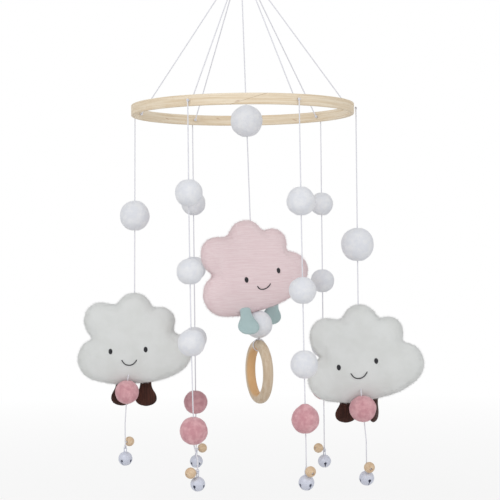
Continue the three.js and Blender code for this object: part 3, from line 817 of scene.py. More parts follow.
def bead_piece(name, body, centre, out, radius, seed):
    mouth = math.acos(POCKET / radius)
    far = math.acos(BORE / radius)
    section = [
        (radius * math.cos(a), radius * math.sin(a)) for a in np.linspace(-far + 0.04, mouth - 0.06, 26)
    ]
    lip = radius * math.sin(mouth)
    floor = lip - POCKET_DEPTH
    section += [(POCKET + 0.12, lip - 0.1), (POCKET, lip - 0.4), (POCKET, floor + 0.2), (POCKET - 0.2, floor)]
    section += [(BORE + 0.1, floor), (BORE, floor - 0.1), (BORE, 0), (BORE, -radius * 0.75)]
    section += [(BORE, -radius * math.sin(far) + 0.3), (BORE + 0.1, -radius * math.sin(far) + 0.08)]
    place = moved(*centre) @ pointing(out)
    made = made_mesh(name, *lathed(section, 40), place, BEAD_WOOD, seed)
    made.data.set_sharp_from_angle(angle=math.radians(50))
    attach(made, body)
    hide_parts(name.replace("wooden_", ""))
    return made


BELL_WALL = 0.6
SLOT_WIDTH = 1.1
SLOT_END = 3.2
SLOT_LATITUDE = math.radians(-14)
EYE_WIRE = 1.0
EYE_BOW = CORD / 2 + 0.35 + EYE_WIRE / 2
EYE_STEM = 3.4


def tube_between(start, end, diameter, sides=24):
    return swept([start, end], round_section(diameter, sides))


def box_shape(x, y, z, at_z):
    signs = [(sx, sy, sz) for sx in (-1, 1) for sy in (-1, 1) for sz in (-1, 1)]
    corners = [(sx * x / 2, sy * y / 2, at_z + sz * z / 2) for sx, sy, sz in signs]
    faces = [(0, 1, 3, 2), (4, 6, 7, 5), (0, 4, 5, 1), (2, 3, 7, 6), (0, 2, 6, 4), (1, 5, 7, 3)]
    return np.array(corners), faces


def bell_shell(radius):
    """The pressed shell about its own middle, with its slots along X and Y."""
    section = []
    for degrees in np.linspace(90, -90, 64):
        a = math.radians(degrees)
        crimp = 0.16 * math.exp(-((degrees / 2.2) ** 2))
        section.append(((radius + crimp) * math.cos(a), (radius + crimp) * math.sin(a)))
    inner = [
        ((radius - BELL_WALL) * math.cos(math.radians(d)), (radius - BELL_WALL) * math.sin(math.radians(d)))
        for d in np.linspace(-90, 90, 40)
    ]
    outer_points, outer_faces = open_lathe(section, 72)
    inner_points, inner_faces = open_lathe(inner, 72)
    shell = made_mesh("shell", *joined([(outer_points, outer_faces), (inner_points, inner_faces)]))
    shell.data.transform(Matrix.Scale(1 / MM, 4))
    end_z = radius * math.sin(SLOT_LATITUDE)
    end_r = radius * math.cos(SLOT_LATITUDE)
    cutters = []
    for quarter in (0, 90):
        slot = made_mesh("slot", *box_shape(2 * radius + 2, SLOT_WIDTH, radius + 2, end_z - radius / 2 - 1))
        ends = made_mesh("ends", *tube_between((-end_r - 2, 0, end_z), (end_r + 2, 0, end_z), SLOT_END))
        for cutter in (slot, ends):
            cutter.data.transform(turned(0, 0, quarter) @ Matrix.Scale(1 / MM, 4))
            cutters.append(cutter)
    subtract(shell, cutters)
    points = np.array([v.co for v in shell.data.vertices])
    faces = [tuple(p.vertices) for p in shell.data.polygons]
    bpy.data.objects.remove(shell)
    return points, faces


def open_lathe(section, segments):
    """A section that starts and ends on the axis, carried round Z, with one point at each end."""
    middle = section[1:-1]
    points = [(0, 0, section[0][1])]
    for x, z in middle:
        points += [
            (x * math.cos(2 * math.pi * j / segments), x * math.sin(2 * math.pi * j / segments), z)
            for j in range(segments)
        ]
    points.append((0, 0, section[-1][1]))
    last = len(points) - 1
    faces = []
    for j in range(segments):
        after = (j + 1) % segments
        faces.append((0, 1 + j, 1 + after))
        faces.append((last, last - segments + after, last - segments + j))
        for i in range(len(middle) - 1):
            here, there = 1 + i * segments, 1 + (i + 1) * segments
            faces.append((here + j, there + j, there + after, here + after))
    return np.array(points), faces


MODEL_BELL = 7.4
SHELL_POINTS, SHELL_FACES = bell_shell(MODEL_BELL)
print("bell shell faces:", len(SHELL_FACES))


def bell_piece(name, body, centre, radius, eye_turn, slot_turn, seed):
    size = radius / MODEL_BELL
    shell = np.array(SHELL_POINTS) * size
    spin = np.array(turned(0, 0, slot_turn).to_3x3())
    foot = math.sqrt((radius - BELL_WALL / 2) ** 2 - EYE_BOW**2)
    middle = radius + EYE_STEM
    bow = [(0, -EYE_BOW, foot), (0, -EYE_BOW, (foot + middle) / 2)]
    bow += [
        (0, -EYE_BOW * math.cos(t), middle + EYE_BOW * math.sin(t)) for t in np.linspace(0, math.pi, 17)
    ]
    bow += [(0, EYE_BOW, (foot + middle) / 2), (0, EYE_BOW, foot)]
    shape = joined([(shell @ spin.T, SHELL_FACES), swept(bow, round_section(EYE_WIRE, 12))])
    made = made_mesh(name, *shape, moved(*centre) @ turned(0, 0, eye_turn), BELL_METAL, seed)
    made.data.set_sharp_from_angle(angle=math.radians(35))
    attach(made, body)
    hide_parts(name.replace("jingle_", ""))
    return made


PELLET_RADIUS = 1.8
PELLET_GAP = 0.6


def pellet_piece(name, body, centre, seed):
    rng = np.random.default_rng(seed)
    shift = Vector(rng.uniform(-9, 9, 3))
    half_turn = np.linspace(math.pi / 2, -math.pi / 2, 16)
    section = [(PELLET_RADIUS * math.cos(a), PELLET_RADIUS * math.sin(a)) for a in half_turn]
    points, faces = open_lathe(section, 24)
    dents = np.array([1 + 0.03 * noise.noise(Vector(p) + shift) for p in points])
    made = made_mesh(name, points * dents[:, None], faces, moved(*centre), PELLET_METAL, seed)
    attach(made, body)
    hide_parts(name.replace("steel_", ""))
    return made


# %% [markdown]
# ## Strings
# Each string starts at a knot on the outer face of the hoop and ends in a small loop through the bell's eye.
# The bead hangs beside it on a short tail of the same cord. The table gives, for each string, its balls as
# name, depth below the hoop and diameter, the points that its cord passes, and its bead and bell. The three
# numbers of a bead or a bell are its depth, its diameter and its turn. A string with a cloud also has a tuck,
# a point that keeps its cord inside the cloud until just above the pink ball.

# %% The strings' table
STRINGS = {
    "left": {
        "balls": [("white_ball", 107, 31.5), ("pink_ball", 291.5, 25)],
        "route": [(-1.2, 0, 90), (-2.5, 0, 187), (-9.5, -13, 277), (-13, -13, 325)],
        "tuck": (-8.6, -9.0, 271),
        "bead": (344, 10.2, 62),
        "bell": (361, 14.7, -30),
    },
    "right": {
        "balls": [("white_ball", 140, 34), ("pink_ball", 307, 27)],
        "route": [(0, 0, 100), (0, 0, 199), (1, -16, 291.5), (5.5, -16, 340)],
        "tuck": (0.9, -11.0, 286),
        "bead": (365.5, 11, -75),
        "bell": (377.5, 15.2, 20),
    },
    "near_left": {
        "balls": [
            ("white_ball_1", 89, 27),
            ("white_ball_2", 164.5, 26),
            ("white_ball_3", 233, 26.5),
            ("pink_ball", 317.5, 27),
        ],
        "route": [(0, 0, 120), (0.8, 0, 240), (2.4, 0, 332), (5.5, 0, 344)],
        "bead": (357.2, 10.8, 218),
        "bell": (368.5, 14.2, -28),
    },
    "near_right": {
        "balls": [
            ("white_ball_1", 98, 28),
            ("white_ball_2", 184, 26.6),
            ("white_ball_3", 255, 27),
            ("pink_ball", 308, 26.6),
        ],
        "route": [(0.8, 0, 120), (1.8, 0, 240), (2.8, 0, 335)],
        "bead": (357, 10.4, -62),
        "bell": (368.5, 15.2, 32),
    },
    "far_right": {
        "balls": [
            ("white_ball_1", 95, 25),
            ("white_ball_2", 179, 25.6),
            ("white_ball_3", 250, 26),
            ("pink_ball", 296, 26),
        ],
        "route": [(0, 0, 120), (0, 0, 240), (0, 0, 330)],
        "bead": (361, 10.5, 215),
        "bell": (376, 14.2, 5),
    },
    "far_left": {
        "balls": [
            ("white_ball_1", 92, 27),
            ("white_ball_2", 164, 26.5),
            ("white_ball_3", 242, 26.5),
            ("pink_ball", 312.5, 26),
        ],
        "route": [(0, 0, 120), (0, 0, 240), (0, 0, 335)],
        "bead": (364, 10.4, 35),
        "bell": (378, 14.4, 40),
    },
}
PEAKS = {"near_right_pink_ball": 2.2}  # one ball's wool is pulled up where its cord comes out


def on_route(points, depth):
    """Where a cord is at a depth below the hoop, and its direction there."""
    z = HOOP_Z - depth
    below = next((k for k in range(1, len(points)) if points[k][2] <= z), len(points) - 1)
    above = np.array(points[below - 1], float)
    under = np.array(points[below], float)
    share = (above[2] - z) / (above[2] - under[2])
    return above + (under - above) * share, (above - under) / np.linalg.norm(above - under)


# %% [markdown]
# Each string is worked out from the top down. The eye of the bell sets the height of the last loop, the loop
# sets where the end knot sits, and the balls are threaded along the route that is left between the two knots.

# %% Making the strings
ROUTES = {}
seed = 10
for owner, parts in STRINGS.items():
    body = f"{owner}_string"
    start = polar(STRING_RADIUS, STRING_ANGLES[owner], HOOP_Z)
    bell_depth, bell_diameter, slot_turn = parts["bell"]
    bead_depth, bead_diameter, tail = parts["bead"]
    bell_radius, bead_radius = bell_diameter / 2, bead_diameter / 2
    strand_z = HOOP_Z - bell_depth + bell_radius + EYE_STEM + EYE_BOW - EYE_WIRE / 2 - GAP - CORD / 2
    end_z = strand_z + 2 * EYE_LOOP + END_KNOT / 2
    points = [start]
    points += [np.array([start[0] + x, start[1] + y, HOOP_Z - depth]) for x, y, depth in parts["route"]]
    last = points[-1]
    end = np.array([last[0], last[1], end_z])
    points.append(end)
    ROUTES[owner] = points
    shown_points = points
    if "tuck" in parts:
        x, y, depth = parts["tuck"]
        tuck = np.array([start[0] + x, start[1] + y, HOOP_Z - depth])
        shown_points = [*points[:3], tuck, *points[3:]]
    string, line = cord_piece(f"{owner}_string_cord", shown_points, body, eased=2.5)
    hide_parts(f"{owner}_string")

    out_flat = polar(1.0, tail, 0)
    bead_centre = last * (1, 1, 0) + out_flat * (bead_radius + EYE_LOOP + CORD / 2 + CORD / 2 + GAP)
    bead_centre[2] = HOOP_Z - bead_depth
    tail_start = np.array([last[0], last[1], max(bead_centre[2], end_z)])
    out = (bead_centre - tail_start) / np.linalg.norm(bead_centre - tail_start)
    pocket_floor = math.sqrt(bead_radius**2 - POCKET**2) - POCKET_DEPTH
    tail_end = bead_centre + out * (pocket_floor + GAP + END_KNOT)
    tail_cord, _ = cord_piece(f"{owner}_bead_tail", [tail_start, tail_end], body, step=0.6)
    hook_place = moved(last[0], last[1], strand_z + EYE_LOOP) @ turned(0, 0, tail)
    end_loop = loop_piece(f"{owner}_bell_loop", EYE_LOOP, hook_place, body, seed, 36)
    extras = [
        knot_piece(f"{owner}_outer_knot", start, FACE_KNOT, body, turn=STRING_ANGLES[owner] + 90),
        knot_piece(f"{owner}_end_knot", end, END_KNOT, body, turn=tail),
        knot_piece(f"{owner}_tail_knot", tail_end, END_KNOT, body, turn=tail + 60),
        end_loop,
        tail_cord,
    ]
    length = declared(line)

    for name, depth, diameter in parts["balls"]:
        seed += 1
        full = f"{owner}_{name}"
        at, along = on_route(points, depth)
        pink = "pink" in name
        finish, slot = (PINK_FELT, "pink_felt") if pink else (WHITE_FELT, "white_felt")
        ball_piece(f"felt_{full}", body, at, along, diameter / 2, finish, seed, PEAKS.get(full, 0.0))
    bead_piece(f"wooden_{owner}_bead", body, bead_centre, out, bead_radius, seed + 50)
    bell_centre = (last[0], last[1], HOOP_Z - bell_depth)
    bell_piece(
        f"jingle_{owner}_bell", f"{owner}_bell", bell_centre, bell_radius, tail, slot_turn - tail, seed + 70
    )
    pellet_drop = bell_radius - BELL_WALL - PELLET_GAP - PELLET_RADIUS
    pellet_centre = (last[0], last[1], HOOP_Z - bell_depth - pellet_drop)
    pellet_piece(f"steel_{owner}_bell_pellet", f"{owner}_bell_pellet", pellet_centre, seed + 90)
    print(f"{owner} string {length:.3f} m")

# %% [markdown]
# ## Centre cord and teether ring
# The middle cord carries a big ball just under the hoop, the pink cloud, a lower ball, and the ring in a loop
# of cord. The ring is turned from beech and sanded round; babies chew on it, so it has no lacquer.

# %% Centre cord, its balls and the ring
CENTRE_ROUTE = [
    (0, 0, -150.6), (2.4, 0, -53), (4, 0, 11), (6.5, 0, 110.5), (14, 0, 207), (14, 0, 236.6),
]
RING_TURN = 19
RING_SECTION = 10.5
RING_WIDTH = 66
RING_MIDDLE = (RING_WIDTH - RING_SECTION) / 2
centre_points = [np.array([x, y, HOOP_Z - depth]) for x, y, depth in CENTRE_ROUTE]
ROUTES["centre"] = centre_points
centre_cord, line = cord_piece("centre_drop_cord", centre_points, "centre_drop")
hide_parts("centre_cord")
foot = centre_points[-1]
ring_grip = RING_SECTION / 2 + GAP + CORD / 2
section_z = foot[2] - ring_grip
grip_place = moved(foot[0], foot[1], section_z) @ turned(0, 0, RING_TURN)
ring_loop = loop_piece("ring_loop", ring_grip, grip_place, "centre_drop", 7, 80)
grip_knot = knot_piece("ring_loop_knot", foot, 1.5, "centre_drop", turn=RING_TURN)
print(f"centre cord {declared(line):.3f} m")
for name, depth, diameter, seed in (("white_ball", 11, 33, 81), ("lower_ball", 221.6, 28, 82)):
    at, along = on_route(centre_points, depth)
    ball_piece(f"felt_centre_{name}", "centre_drop", at, along, diameter / 2, WHITE_FELT, seed)

ring_section = []
for a in np.linspace(0, 2 * math.pi, 32, endpoint=False):
    flat = 0.5 * RING_SECTION * (1 - 0.018 * math.cos(4 * a))
    ring_section.append((RING_MIDDLE + flat * math.cos(a), flat * math.sin(a)))
upright = turned(0, 90, 0)
ring_place = moved(foot[0], foot[1], section_z - RING_MIDDLE) @ turned(0, 0, RING_TURN) @ upright
ring_points, ring_quads = lathed(ring_section, 128)
teether = made_mesh("wooden_teether_ring", ring_points, ring_quads, ring_place, RING_WOOD)
remember_own(teether.data, ring_points @ np.array(upright.to_3x3()).T, 0)
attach(teether, "teether_ring")
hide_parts("teether_ring")

# %% [markdown]
# ## Clouds
# A stuffed cloud is two flat panels of the same outline, sewn together at the edge and filled. The filling
# makes each panel bulge most where it is far from a seam, and the cloth folds a little at the notches. The
# height of an evenly filled panel is close to the square root of a pressed membrane, so that is solved first
# on a grid. The skin then gets a short cloth simulation with air pressure, which gives it its soft dents.

# %% The cloud's outline
# Each lobe is an ellipse: its middle and its half sizes, as shares of the cloud's half width and height.
LOBES = [
    ((0.04, -0.29), (0.8, 0.7)),
    ((0.04, 0.58), (0.33, 0.42)),
    ((-0.56, 0.4), (0.3, 0.42)),
    ((-0.42, 0.44), (0.32, 0.35)),
    ((0.49, 0.33), (0.27, 0.33)),
    ((-0.65, -0.41), (0.35, 0.45)),
    ((0.68, -0.35), (0.32, 0.41)),
]
LOBE_BLEND = 18
BELLY_LOBES = [((-0.35, -0.5), (0.5, 0.47)), ((0.4, -0.45), (0.48, 0.47))]
FULLER_LOBES = [*LOBES, *BELLY_LOBES]  # the filling rounds out the lower edge of the sewn outline


def outline_radius(angle, half_width, half_height, lobes=LOBES):
    """How far the outline is from its middle in a direction: the lobes' smooth union."""
    ux, uz = np.cos(angle), np.sin(angle)
    total = 0.0
    for at, half in lobes:
        a, b = half[0] * half_width, half[1] * half_height
        cx, cz = at[0] * half_width, at[1] * half_height
        qa = (ux / a) ** 2 + (uz / b) ** 2
        qb = ux * cx / a**2 + uz * cz / b**2
        qc = (cx / a) ** 2 + (cz / b) ** 2 - 1
        root = qb**2 - qa * qc
        reach = np.where(root > 0, (qb + np.sqrt(np.maximum(root, 0))) / qa, 0)
        total = total + np.maximum(reach, 0) ** LOBE_BLEND
    return total ** (1 / LOBE_BLEND)


def pressed_membrane(width, height, pitch=2.0):
    """The height of a membrane held at the outline, on a grid, with its greatest height as 1."""
    xs = np.arange(-width / 2 - 4, width / 2 + 4 + pitch, pitch)
    zs = np.arange(-height / 2 - 4, height / 2 + 4 + pitch, pitch)
    x, z = np.meshgrid(xs, zs, indexing="ij")
    inside = np.hypot(x, z) < outline_radius(np.arctan2(z, x), width / 2, height / 2, FULLER_LOBES)
    rise = np.zeros_like(x)
    for _ in range(900):
        around = np.roll(rise, 1, 0) + np.roll(rise, -1, 0) + np.roll(rise, 1, 1) + np.roll(rise, -1, 1)
        rise = np.where(inside, (around + pitch**2) / 4, 0)
    return xs, zs, rise / rise.max()


def sampled(grid, x, z):
    xs, zs, rise = grid
    i = np.clip((x - xs[0]) / (xs[1] - xs[0]), 0, len(xs) - 1.001)
    j = np.clip((z - zs[0]) / (zs[1] - zs[0]), 0, len(zs) - 1.001)
    a, b = int(i), int(j)
    u, v = i - a, j - b
    top = rise[a, b] * (1 - u) + rise[a + 1, b] * u
    return top * (1 - v) + (rise[a, b + 1] * (1 - u) + rise[a + 1, b + 1] * u) * v


SKIN_SIDES = 132


def cloud_skin(width, height, thickness, rim):
    """Front and back panels, as rings of the outline, joined at the seam."""
    grid = pressed_membrane(width, height)
    around = SKIN_SIDES
    shares = [1.0, 0.985, 0.96, 0.92, 0.87, 0.8, 0.72, 0.62, 0.5, 0.37, 0.22]
    layers = [(share, -1) for share in shares[::-1]] + [(share, 1) for share in shares]
    points = [(0, -thickness / 2 * sampled(grid, 0, 0) ** 0.5, 0)]
    for share, side in layers:
        for k in range(around):
            angle = 2 * math.pi * k / around
            reach = share * float(outline_radius(angle, width / 2, height / 2, FULLER_LOBES))
            x, z = reach * math.cos(angle), reach * math.sin(angle)
            swell = max(sampled(grid, x, z), 0.0) ** 0.5
            points.append((x, side * (rim / 2 + (thickness - rim) / 2 * swell), z))
    points.append((0, thickness / 2 * sampled(grid, 0, 0) ** 0.5, 0))
    last = len(points) - 1
    faces = []
    for k in range(around):
        after = (k + 1) % around
        faces.append((0, 1 + k, 1 + after))
        faces.append((last, last - around + after, last - around + k))
        for i in range(len(layers) - 1):
            here, there = 1 + i * around, 1 + (i + 1) * around
            faces.append((here + k, there + k, there + after, here + after))
    return np.array(points), faces


# %% [markdown]
# The simulation works on an even mesh, so the skin is remeshed first. A point may move only a few
# millimetres, so that the cloud keeps its outline. A last subdivision smooths it.


# %% Inflating the skin
MAX_SWELL = 2.6
SKIN_VOXEL = 2.6
PRESS_FRAMES = 18


def inflated(skin_object):
    """Remeshes, presses the skin out from inside and keeps each point near its start."""
    even = skin_object.modifiers.new("even", "REMESH")
    even.mode = "VOXEL"
    even.voxel_size = SKIN_VOXEL * MM
    keep_evaluated(skin_object)
    mesh = skin_object.data
    before = np.array([v.co for v in mesh.vertices])
    cloth = skin_object.modifiers.new("cloth", "CLOTH")
    cloth.settings.use_pressure = True
    cloth.settings.uniform_pressure_force = 4.0
    cloth.settings.effector_weights.gravity = 0.0
    cloth.settings.quality = 6
    cloth.settings.mass = 0.15
    cloth.settings.tension_stiffness = 12
    cloth.settings.bending_stiffness = 0.6
    cloth.point_cache.frame_start = 1
    cloth.point_cache.frame_end = PRESS_FRAMES
    for number in range(1, PRESS_FRAMES + 1):
        bpy.context.scene.frame_set(number)
    keep_evaluated(skin_object)
    mesh = skin_object.data
    after = np.array([v.co for v in mesh.vertices])
    move = after - before
    far = np.linalg.norm(move, axis=1)
    cap = MAX_SWELL * MM
    scale = np.where(far > 0, cap * np.tanh(far / cap) / np.maximum(far, 1e-9), 0)
    settled = before + move * scale[:, None]
    mesh.vertices.foreach_set("co", settled.ravel())
    bpy.context.scene.frame_set(1)
    smooth = skin_object.modifiers.new("smooth", "SUBSURF")
    smooth.levels = 1
    smooth.render_levels = 1
    keep_evaluated(skin_object)
    return skin_object


def keep_evaluated(target):
    """Turns what the modifiers show into the piece's own mesh."""
    bpy.context.view_layer.update()
    done = bpy.data.meshes.new_from_object(target.evaluated_get(bpy.context.evaluated_depsgraph_get()))
    target.modifiers.clear()
    target.data = done


# %% [markdown]
# The three clouds are cut from one pattern at slightly different sizes. The table gives where each hangs from
# its string or the middle cord, its size, its tilt and turn, and where its legs and its face are sewn on. A
# leg's four numbers are its place across the seam, its shift back, its lean and its own turn.

# %% The clouds' table
CLOUDS = {
    "left": {
        "centre": (-4.2, 235.8),
        "size": (120, 94.4),
        "tilt": 2.5,
        "turn": 0,
        "legs": [("left", -15.5, 4.2, 6, 0), ("right", 10, 4.2, 6, 0)],
        "eyes": [(-23.4, -12.0), (13.4, -11.9)],
        "smile": [(-12.2, -21.6), (-4.6, -27.4), (3.6, -21.6)],
    },
    "right": {
        "centre": (4, 250.6),
        "size": (121, 98),
        "tilt": 9,
        "turn": 0,
        "legs": [("left", -24, 4.4, 4, 12), ("right", 6, 12.5, 4, 72)],
        "eyes": [(-27.5, -10.2), (11.0, -9.9)],
        "smile": [(-16.5, -18.2), (-8.6, -24.6), (0.5, -18.5)],
    },
    "centre": {
        "centre": (7, 160.4),
        "size": (119, 94.6),
        "tilt": 15.6,
        "turn": 21,
        "legs": [("left", -22.5, -9, -30, 0), ("right", 17, 10, 26, 0)],
        "eyes": [(-15.2, -10.9), (21.6, -11.9)],
        "smile": [(-5.2, -20.6), (0.8, -25.6), (9.9, -21.9)],
    },
}
CLOUD_THICKNESS = 34.0
CLOUD_RIM = 2.2

# %% [markdown]
# ## Stitched faces
# Two oval eyes and a smile are satin and stem stitch. Each eye is a pad of parallel threads that bulges in
# the middle, and the smile is a row of short overlapping stitches. Threads are laid on the cloud's front by
# looking straight back through each point to the skin.


# %% Stitches
def thread_between(start, end, out, width, arch):
    """One stitch: a thread that dives into the cloth at both ends."""
    start, end = np.array(start), np.array(end)
    line = []
    for t in np.linspace(0, 1, 9):
        lift = arch * math.sin(math.pi * t) - 0.25 * (abs(2 * t - 1) ** 6)
        line.append(start + (end - start) * t + out * lift)
    return swept(line, round_section(width, 8))


def on_front(tree, x, z):
    """The point of the skin's front at x, z, and its outward direction, in millimetres."""
    hit, normal, _, _ = tree.ray_cast(Vector((x, -60, z)), Vector((0, 1, 0)))
    return np.array(hit), np.array(normal)


EYE_WIDE = 4.1
EYE_TALL = 5.6
EYE_ROWS = 13
EYE_THREAD = 0.52
SMILE_THREAD = 1.1


def eye_stitches(tree, x, z):
    threads = []
    for i in range(EYE_ROWS):
        level = (i + 0.5) / EYE_ROWS * 2 - 1
        half = EYE_WIDE / 2 * math.sqrt(1 - level**2)
        height = z + level * EYE_TALL / 2
        left, out_left = on_front(tree, x - half, height)
        right, out_right = on_front(tree, x + half, height + 0.12)
        out = (out_left + out_right) / np.linalg.norm(out_left + out_right)
        arch = 0.3 + 0.35 * math.sqrt(1 - level**2)
        threads.append(thread_between(left, right, out, EYE_THREAD, arch))
    return threads


def smile_stitches(tree, points):
    (x0, z0), (x1, z1), (x2, z2) = points
    line = []
    for t in np.linspace(0, 1, 60):
        chord_x, chord_z = x0 + (x2 - x0) * t, z0 + (z2 - z0) * t
        sag = max(0.0, 1 - abs(2 * t - 1) ** 2.3) ** 0.8
        line.append((chord_x + (x1 - (x0 + x2) / 2) * sag, chord_z + (z1 - (z0 + z2) / 2) * sag))
    threads = []
    for i in range(0, 54, 5):
        j = min(i + 8, 59)
        start, out_start = on_front(tree, *line[i])
        end, out_end = on_front(tree, *line[j])
        out = (out_start + out_end) / np.linalg.norm(out_start + out_end)
        threads.append(thread_between(start, end, out, SMILE_THREAD, 0.4))
    return threads


# %% [markdown]
# ## Legs
# Each leg is a small flat boot of velvet, narrow at the seam and wide at the toe, lightly filled. It is
# lofted from soft oval sections and hangs from the cloud's lower seam. Two pieces of cloth meet in a seam
# down its sides.


# %% The leg maker
LEG_LENGTH = 27.0
LEG_IN_CLOUD = 5.0
NECK_HALF = 5.8
FOOT_HALF = 11.8
LEG_THICKNESS = 7.0
FLARE_AT = 0.42  # how far down the leg widens into the foot, as a share of its length
FLARE_RATE = 11
SOLE_FROM = 0.62  # where the foot starts to close


def leg_shape(seed):
    rings, around = 34, 40
    points = []
    shift = Vector(np.random.default_rng(seed).uniform(-40, 40, 3))
    for t in np.linspace(0, 1, rings):
        down = LEG_IN_CLOUD - t * (LEG_LENGTH + LEG_IN_CLOUD)
        along = max(0.0, -down) / LEG_LENGTH
        flare = 1 / (1 + math.exp(-(along - FLARE_AT) * FLARE_RATE))
        half = NECK_HALF + (FOOT_HALF - NECK_HALF) * flare
        sole = max(0.0, (along - SOLE_FROM) / 0.38)
        half *= math.sqrt(max(0.02, 1 - sole**2.6))
        puff = LEG_THICKNESS / 2 * (0.78 + 0.3 * flare) * math.sqrt(max(0.03, 1 - sole**3))
        for k in range(around):
            angle = 2 * math.pi * k / around
            c, s = math.cos(angle), math.sin(angle)
            x = half * math.copysign(abs(c) ** 0.82, c)
            y = puff * math.copysign(abs(s) ** 0.9, s)
            spot = Vector((x, y, down))
            lump = noise.noise(spot / 6 + shift) * 0.4
            raised = y + lump * (abs(s) > 0.2) * math.copysign(1, s) * 0.6
            points.append((x * (1 + lump * 0.04), raised, down))
    return np.array(points), capped(ring_faces(rings, around), rings, around)


def seam_below(across, size):
    """The point of the lower seam that lies so far across, found by closing in on its angle."""
    angle = -math.pi / 2
    for _ in range(8):
        reach = float(outline_radius(angle, size[0] / 2, size[1] / 2))
        angle = -math.acos(max(-1.0, min(1.0, across / reach)))
    reach = float(outline_radius(angle, size[0] / 2, size[1] / 2))
    return Vector((reach * math.cos(angle), 0, reach * math.sin(angle)))


# %% [markdown]
# ## Putting a cloud together
# The skin starts a little wider and taller than the finished cloud, because pressing it full draws its edge
# in, and a little thinner, because it swells. Then the seam is pulled in, where the two panels meet. The pile
# is thicker along the rim, where it shows against the light.

# %% The sewn skin
SKIN_WIDER = 1.6
SKIN_TALLER = 3.4
SKIN_THINNER = 3.5
RIM_FROM = 0.9  # where the rim starts, as a share of the way out to the outline
SEAM_PINCH = 0.011
SEAM_REACH = 0.9
PILE = {"count": 6000, "length": 1.5, "width": 0.12, "lean": 1.1}
RIM_PILE = {"count": 7000, "length": 2.6, "width": 0.13, "lean": 0.9}
LEG_PILE = {"count": 900, "length": 0.7, "width": 0.09}


def sewn_skin(width, height):
    """The filled skin in millimetres, its faces, and whether each point lies on the rim."""
    thickness = CLOUD_THICKNESS - SKIN_THINNER
    points, faces = cloud_skin(width + SKIN_WIDER, height + SKIN_TALLER, thickness, CLOUD_RIM)
    blank = inflated(made_mesh("blank", points, faces))
    skin = np.array([v.co for v in blank.data.vertices]) / MM
    skin_faces = [tuple(p.vertices) for p in blank.data.polygons]
    bpy.data.objects.remove(blank)
    rim_reach = outline_radius(np.arctan2(skin[:, 2], skin[:, 0]), width / 2, height / 2, FULLER_LOBES)
    on_rim = np.hypot(skin[:, 0], skin[:, 2]) / rim_reach > RIM_FROM
    pinch = np.where(on_rim, SEAM_PINCH * np.exp(-((skin[:, 1] / SEAM_REACH) ** 2)), 0)
    skin[:, 0] *= 1 - pinch
    skin[:, 2] *= 1 - pinch
    return skin, skin_faces, on_rim


def leg_piece(owner, side, body, place, finish, seed):
    points, faces = leg_shape(seed)
    fringe = rooted_fibres(points, faces, seed=seed, **LEG_PILE)
    shape = joined([(points, faces), fringe])
    leg = made_mesh(f"velvet_{owner}_cloud_{side}_leg", *shape, place, finish, seed)
    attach(leg, body)
    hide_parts(f"{owner}_cloud_{side}_leg")


# %% Making the clouds
for index, (owner, shape) in enumerate(CLOUDS.items()):
    body = f"{owner}_cloud"
    pink = owner == "centre"
    finish, slot = (PINK_PLUSH, "pink_plush") if pink else (WHITE_PLUSH, "white_plush")
    leg_finish, leg_slot = (MINT_PLUSH, "mint_plush") if pink else (BROWN_PLUSH, "brown_plush")
    from_x, from_y = (0, 0) if pink else ROUTES[owner][0][:2]
    centre_x, depth = shape["centre"]
    facing = moved(from_x + centre_x, from_y, HOOP_Z - depth) @ turned(0, 0, shape["turn"])
    tilt = turned(0, -shape["tilt"], 0)

    skin, skin_faces, on_rim = sewn_skin(*shape["size"])
    pile = rooted_fibres(skin, skin_faces, seed=200 + index, **PILE)
    rim_faces = [f for f in skin_faces if on_rim[f[0]]]
    rim_pile = rooted_fibres(skin, rim_faces, seed=210 + index, **RIM_PILE)
    plush = joined([(skin, skin_faces), pile, rim_pile])
    cloud = made_mesh(f"plush_{owner}_cloud", *plush, facing @ tilt, finish, 300 + index)
    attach(cloud, body)
    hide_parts(f"{owner}_cloud")

    tree = BVHTree.FromPolygons([tuple(p) for p in skin], skin_faces)
    stitches = [thread for x, z in shape["eyes"] for thread in eye_stitches(tree, x, z)]
    stitches += smile_stitches(tree, shape["smile"])
    face_name = f"{owner}_cloud_stitched_face"
    face = made_mesh(face_name, *joined(stitches), facing @ tilt, DARK_THREAD, 320 + index)
    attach(face, body)

    for side, across, back, lean, turn in shape["legs"]:
        hang = tilt @ seam_below(across, shape["size"])
        place = facing @ moved(hang.x, back, hang.z) @ turned(lean, 0, turn)
        leg_piece(owner, side, body, place, leg_finish, 400 + index * 10 + len(side))
    print(owner, "cloud faces:", len(skin_faces))

# %% [markdown]
# ## Studio
# The mobile hangs in front of plain white. The world is white to the camera and to reflections, and a soft
# grey to everything else, so it fills the shadows without washing them out. Two big soft lamps give the
# balls their shape. The floor is pale, lies below the lowest bell, and keeps the shadow near the mobile. It
# fades into the white background further out.

# %% World
WHITE = (1.0, 1.0, 1.0, 1.0)
SOFT_LIGHT = 0.58


def seen_directly(graph):
    """1 for camera, glossy and clear rays, and 0 for the light that falls on things."""
    kinds = ("Camera", "Glossy", "Transmission")
    camera_ray, glossy_ray, clear_ray = (
        graph.node("ShaderNodeLightPath", output=f"Is {kind} Ray") for kind in kinds
    )
    seen = camera_ray.maths("MAXIMUM", camera_ray, glossy_ray)
    return seen.maths("MAXIMUM", seen, clear_ray)


world = bpy.data.worlds.new("studio")
world.use_nodes = True
bpy.context.scene.world = world
sky = Graph(world.node_tree)
soft = sky.node("ShaderNodeBackground", {}, {"Color": WHITE, "Strength": SOFT_LIGHT})
white = sky.node("ShaderNodeBackground", {}, {"Color": WHITE})
both = sky.node("ShaderNodeMixShader", {}, {0: seen_directly(sky), 1: soft, 2: white})
sky.node("ShaderNodeOutputWorld", {}, {"Surface": both})

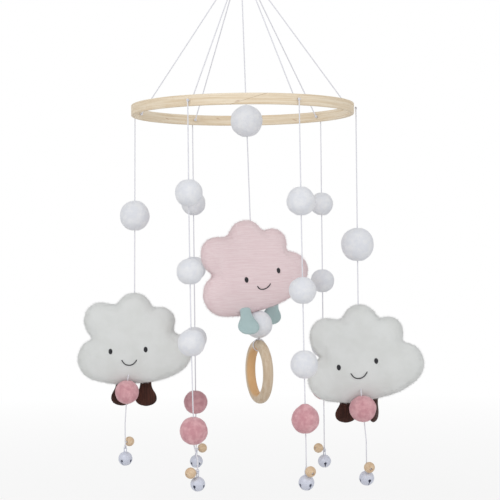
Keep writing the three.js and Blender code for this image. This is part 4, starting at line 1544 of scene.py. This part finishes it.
# %% Lamps
MIDDLE = (0.0, 0.0, -0.35)
LAMP_SIZE = 1.3
KEY_POWER = 12.0
FILL_POWER = 5.6


def soft_lamp(name, place, power):
    data = bpy.data.lights.new(name, "AREA")
    data.shape = "DISK"
    data.size = LAMP_SIZE
    data.energy = power
    lamp = bpy.data.objects.new(name, data)
    bpy.context.scene.collection.objects.link(lamp)
    lamp.location = place
    lamp.rotation_euler = (Vector(MIDDLE) - Vector(place)).to_track_quat("-Z", "Y").to_euler()


soft_lamp("key_lamp", (-0.9, -1.5, 0.75), KEY_POWER)
soft_lamp("fill_lamp", (1.3, -1.3, 0.1), FILL_POWER)

# %% Floor
FLOOR_Z = CAD_BOX[0][2] - 0.06
FLOOR_REACH = 6.0
FLOOR_COLOUR = (0.93, 0.93, 0.93, 1.0)
SHADOW_UNTIL = 0.7
WHITE_FROM = 1.6
GLOW_NEAR = 0.78


def floor_finish():
    """Pale and matte near the mobile, so that its shadow shows, and plain white to the camera further out."""
    material = bpy.data.materials.new("pale_floor")
    material.use_nodes = True
    floor_graph = Graph(material.node_tree)
    place = floor_graph.node("ShaderNodeNewGeometry", output="Position")
    distance = floor_graph.node("ShaderNodeVectorMath", {"operation": "LENGTH"}, {0: place}, "Value")
    limits = {"From Min": SHADOW_UNTIL, "From Max": WHITE_FROM, "To Min": GLOW_NEAR, "To Max": 1.0}
    fade = floor_graph.node("ShaderNodeMapRange", {}, {"Value": distance} | limits)
    matte = floor_graph.node("ShaderNodeBsdfDiffuse", {}, {"Color": FLOOR_COLOUR})
    glow = floor_graph.node("ShaderNodeEmission", {}, {"Color": WHITE})
    share = seen_directly(floor_graph) * fade
    shown = floor_graph.node("ShaderNodeMixShader", {}, {0: share, 1: matte, 2: glow})
    floor_graph.node("ShaderNodeOutputMaterial", {}, {"Surface": shown})
    return material


corner_signs = [(-1, -1), (1, -1), (1, 1), (-1, 1)]
corners = [(sx * FLOOR_REACH, sy * FLOOR_REACH, FLOOR_Z) for sx, sy in corner_signs]
floor_mesh = bpy.data.meshes.new("floor")
floor_mesh.from_pydata(corners, [], [(0, 1, 2, 3)])
floor_mesh.materials.append(floor_finish())
floor = bpy.data.objects.new("floor", floor_mesh)
bpy.context.scene.collection.objects.link(floor)

bpy.context.scene.view_settings.view_transform = "Standard"
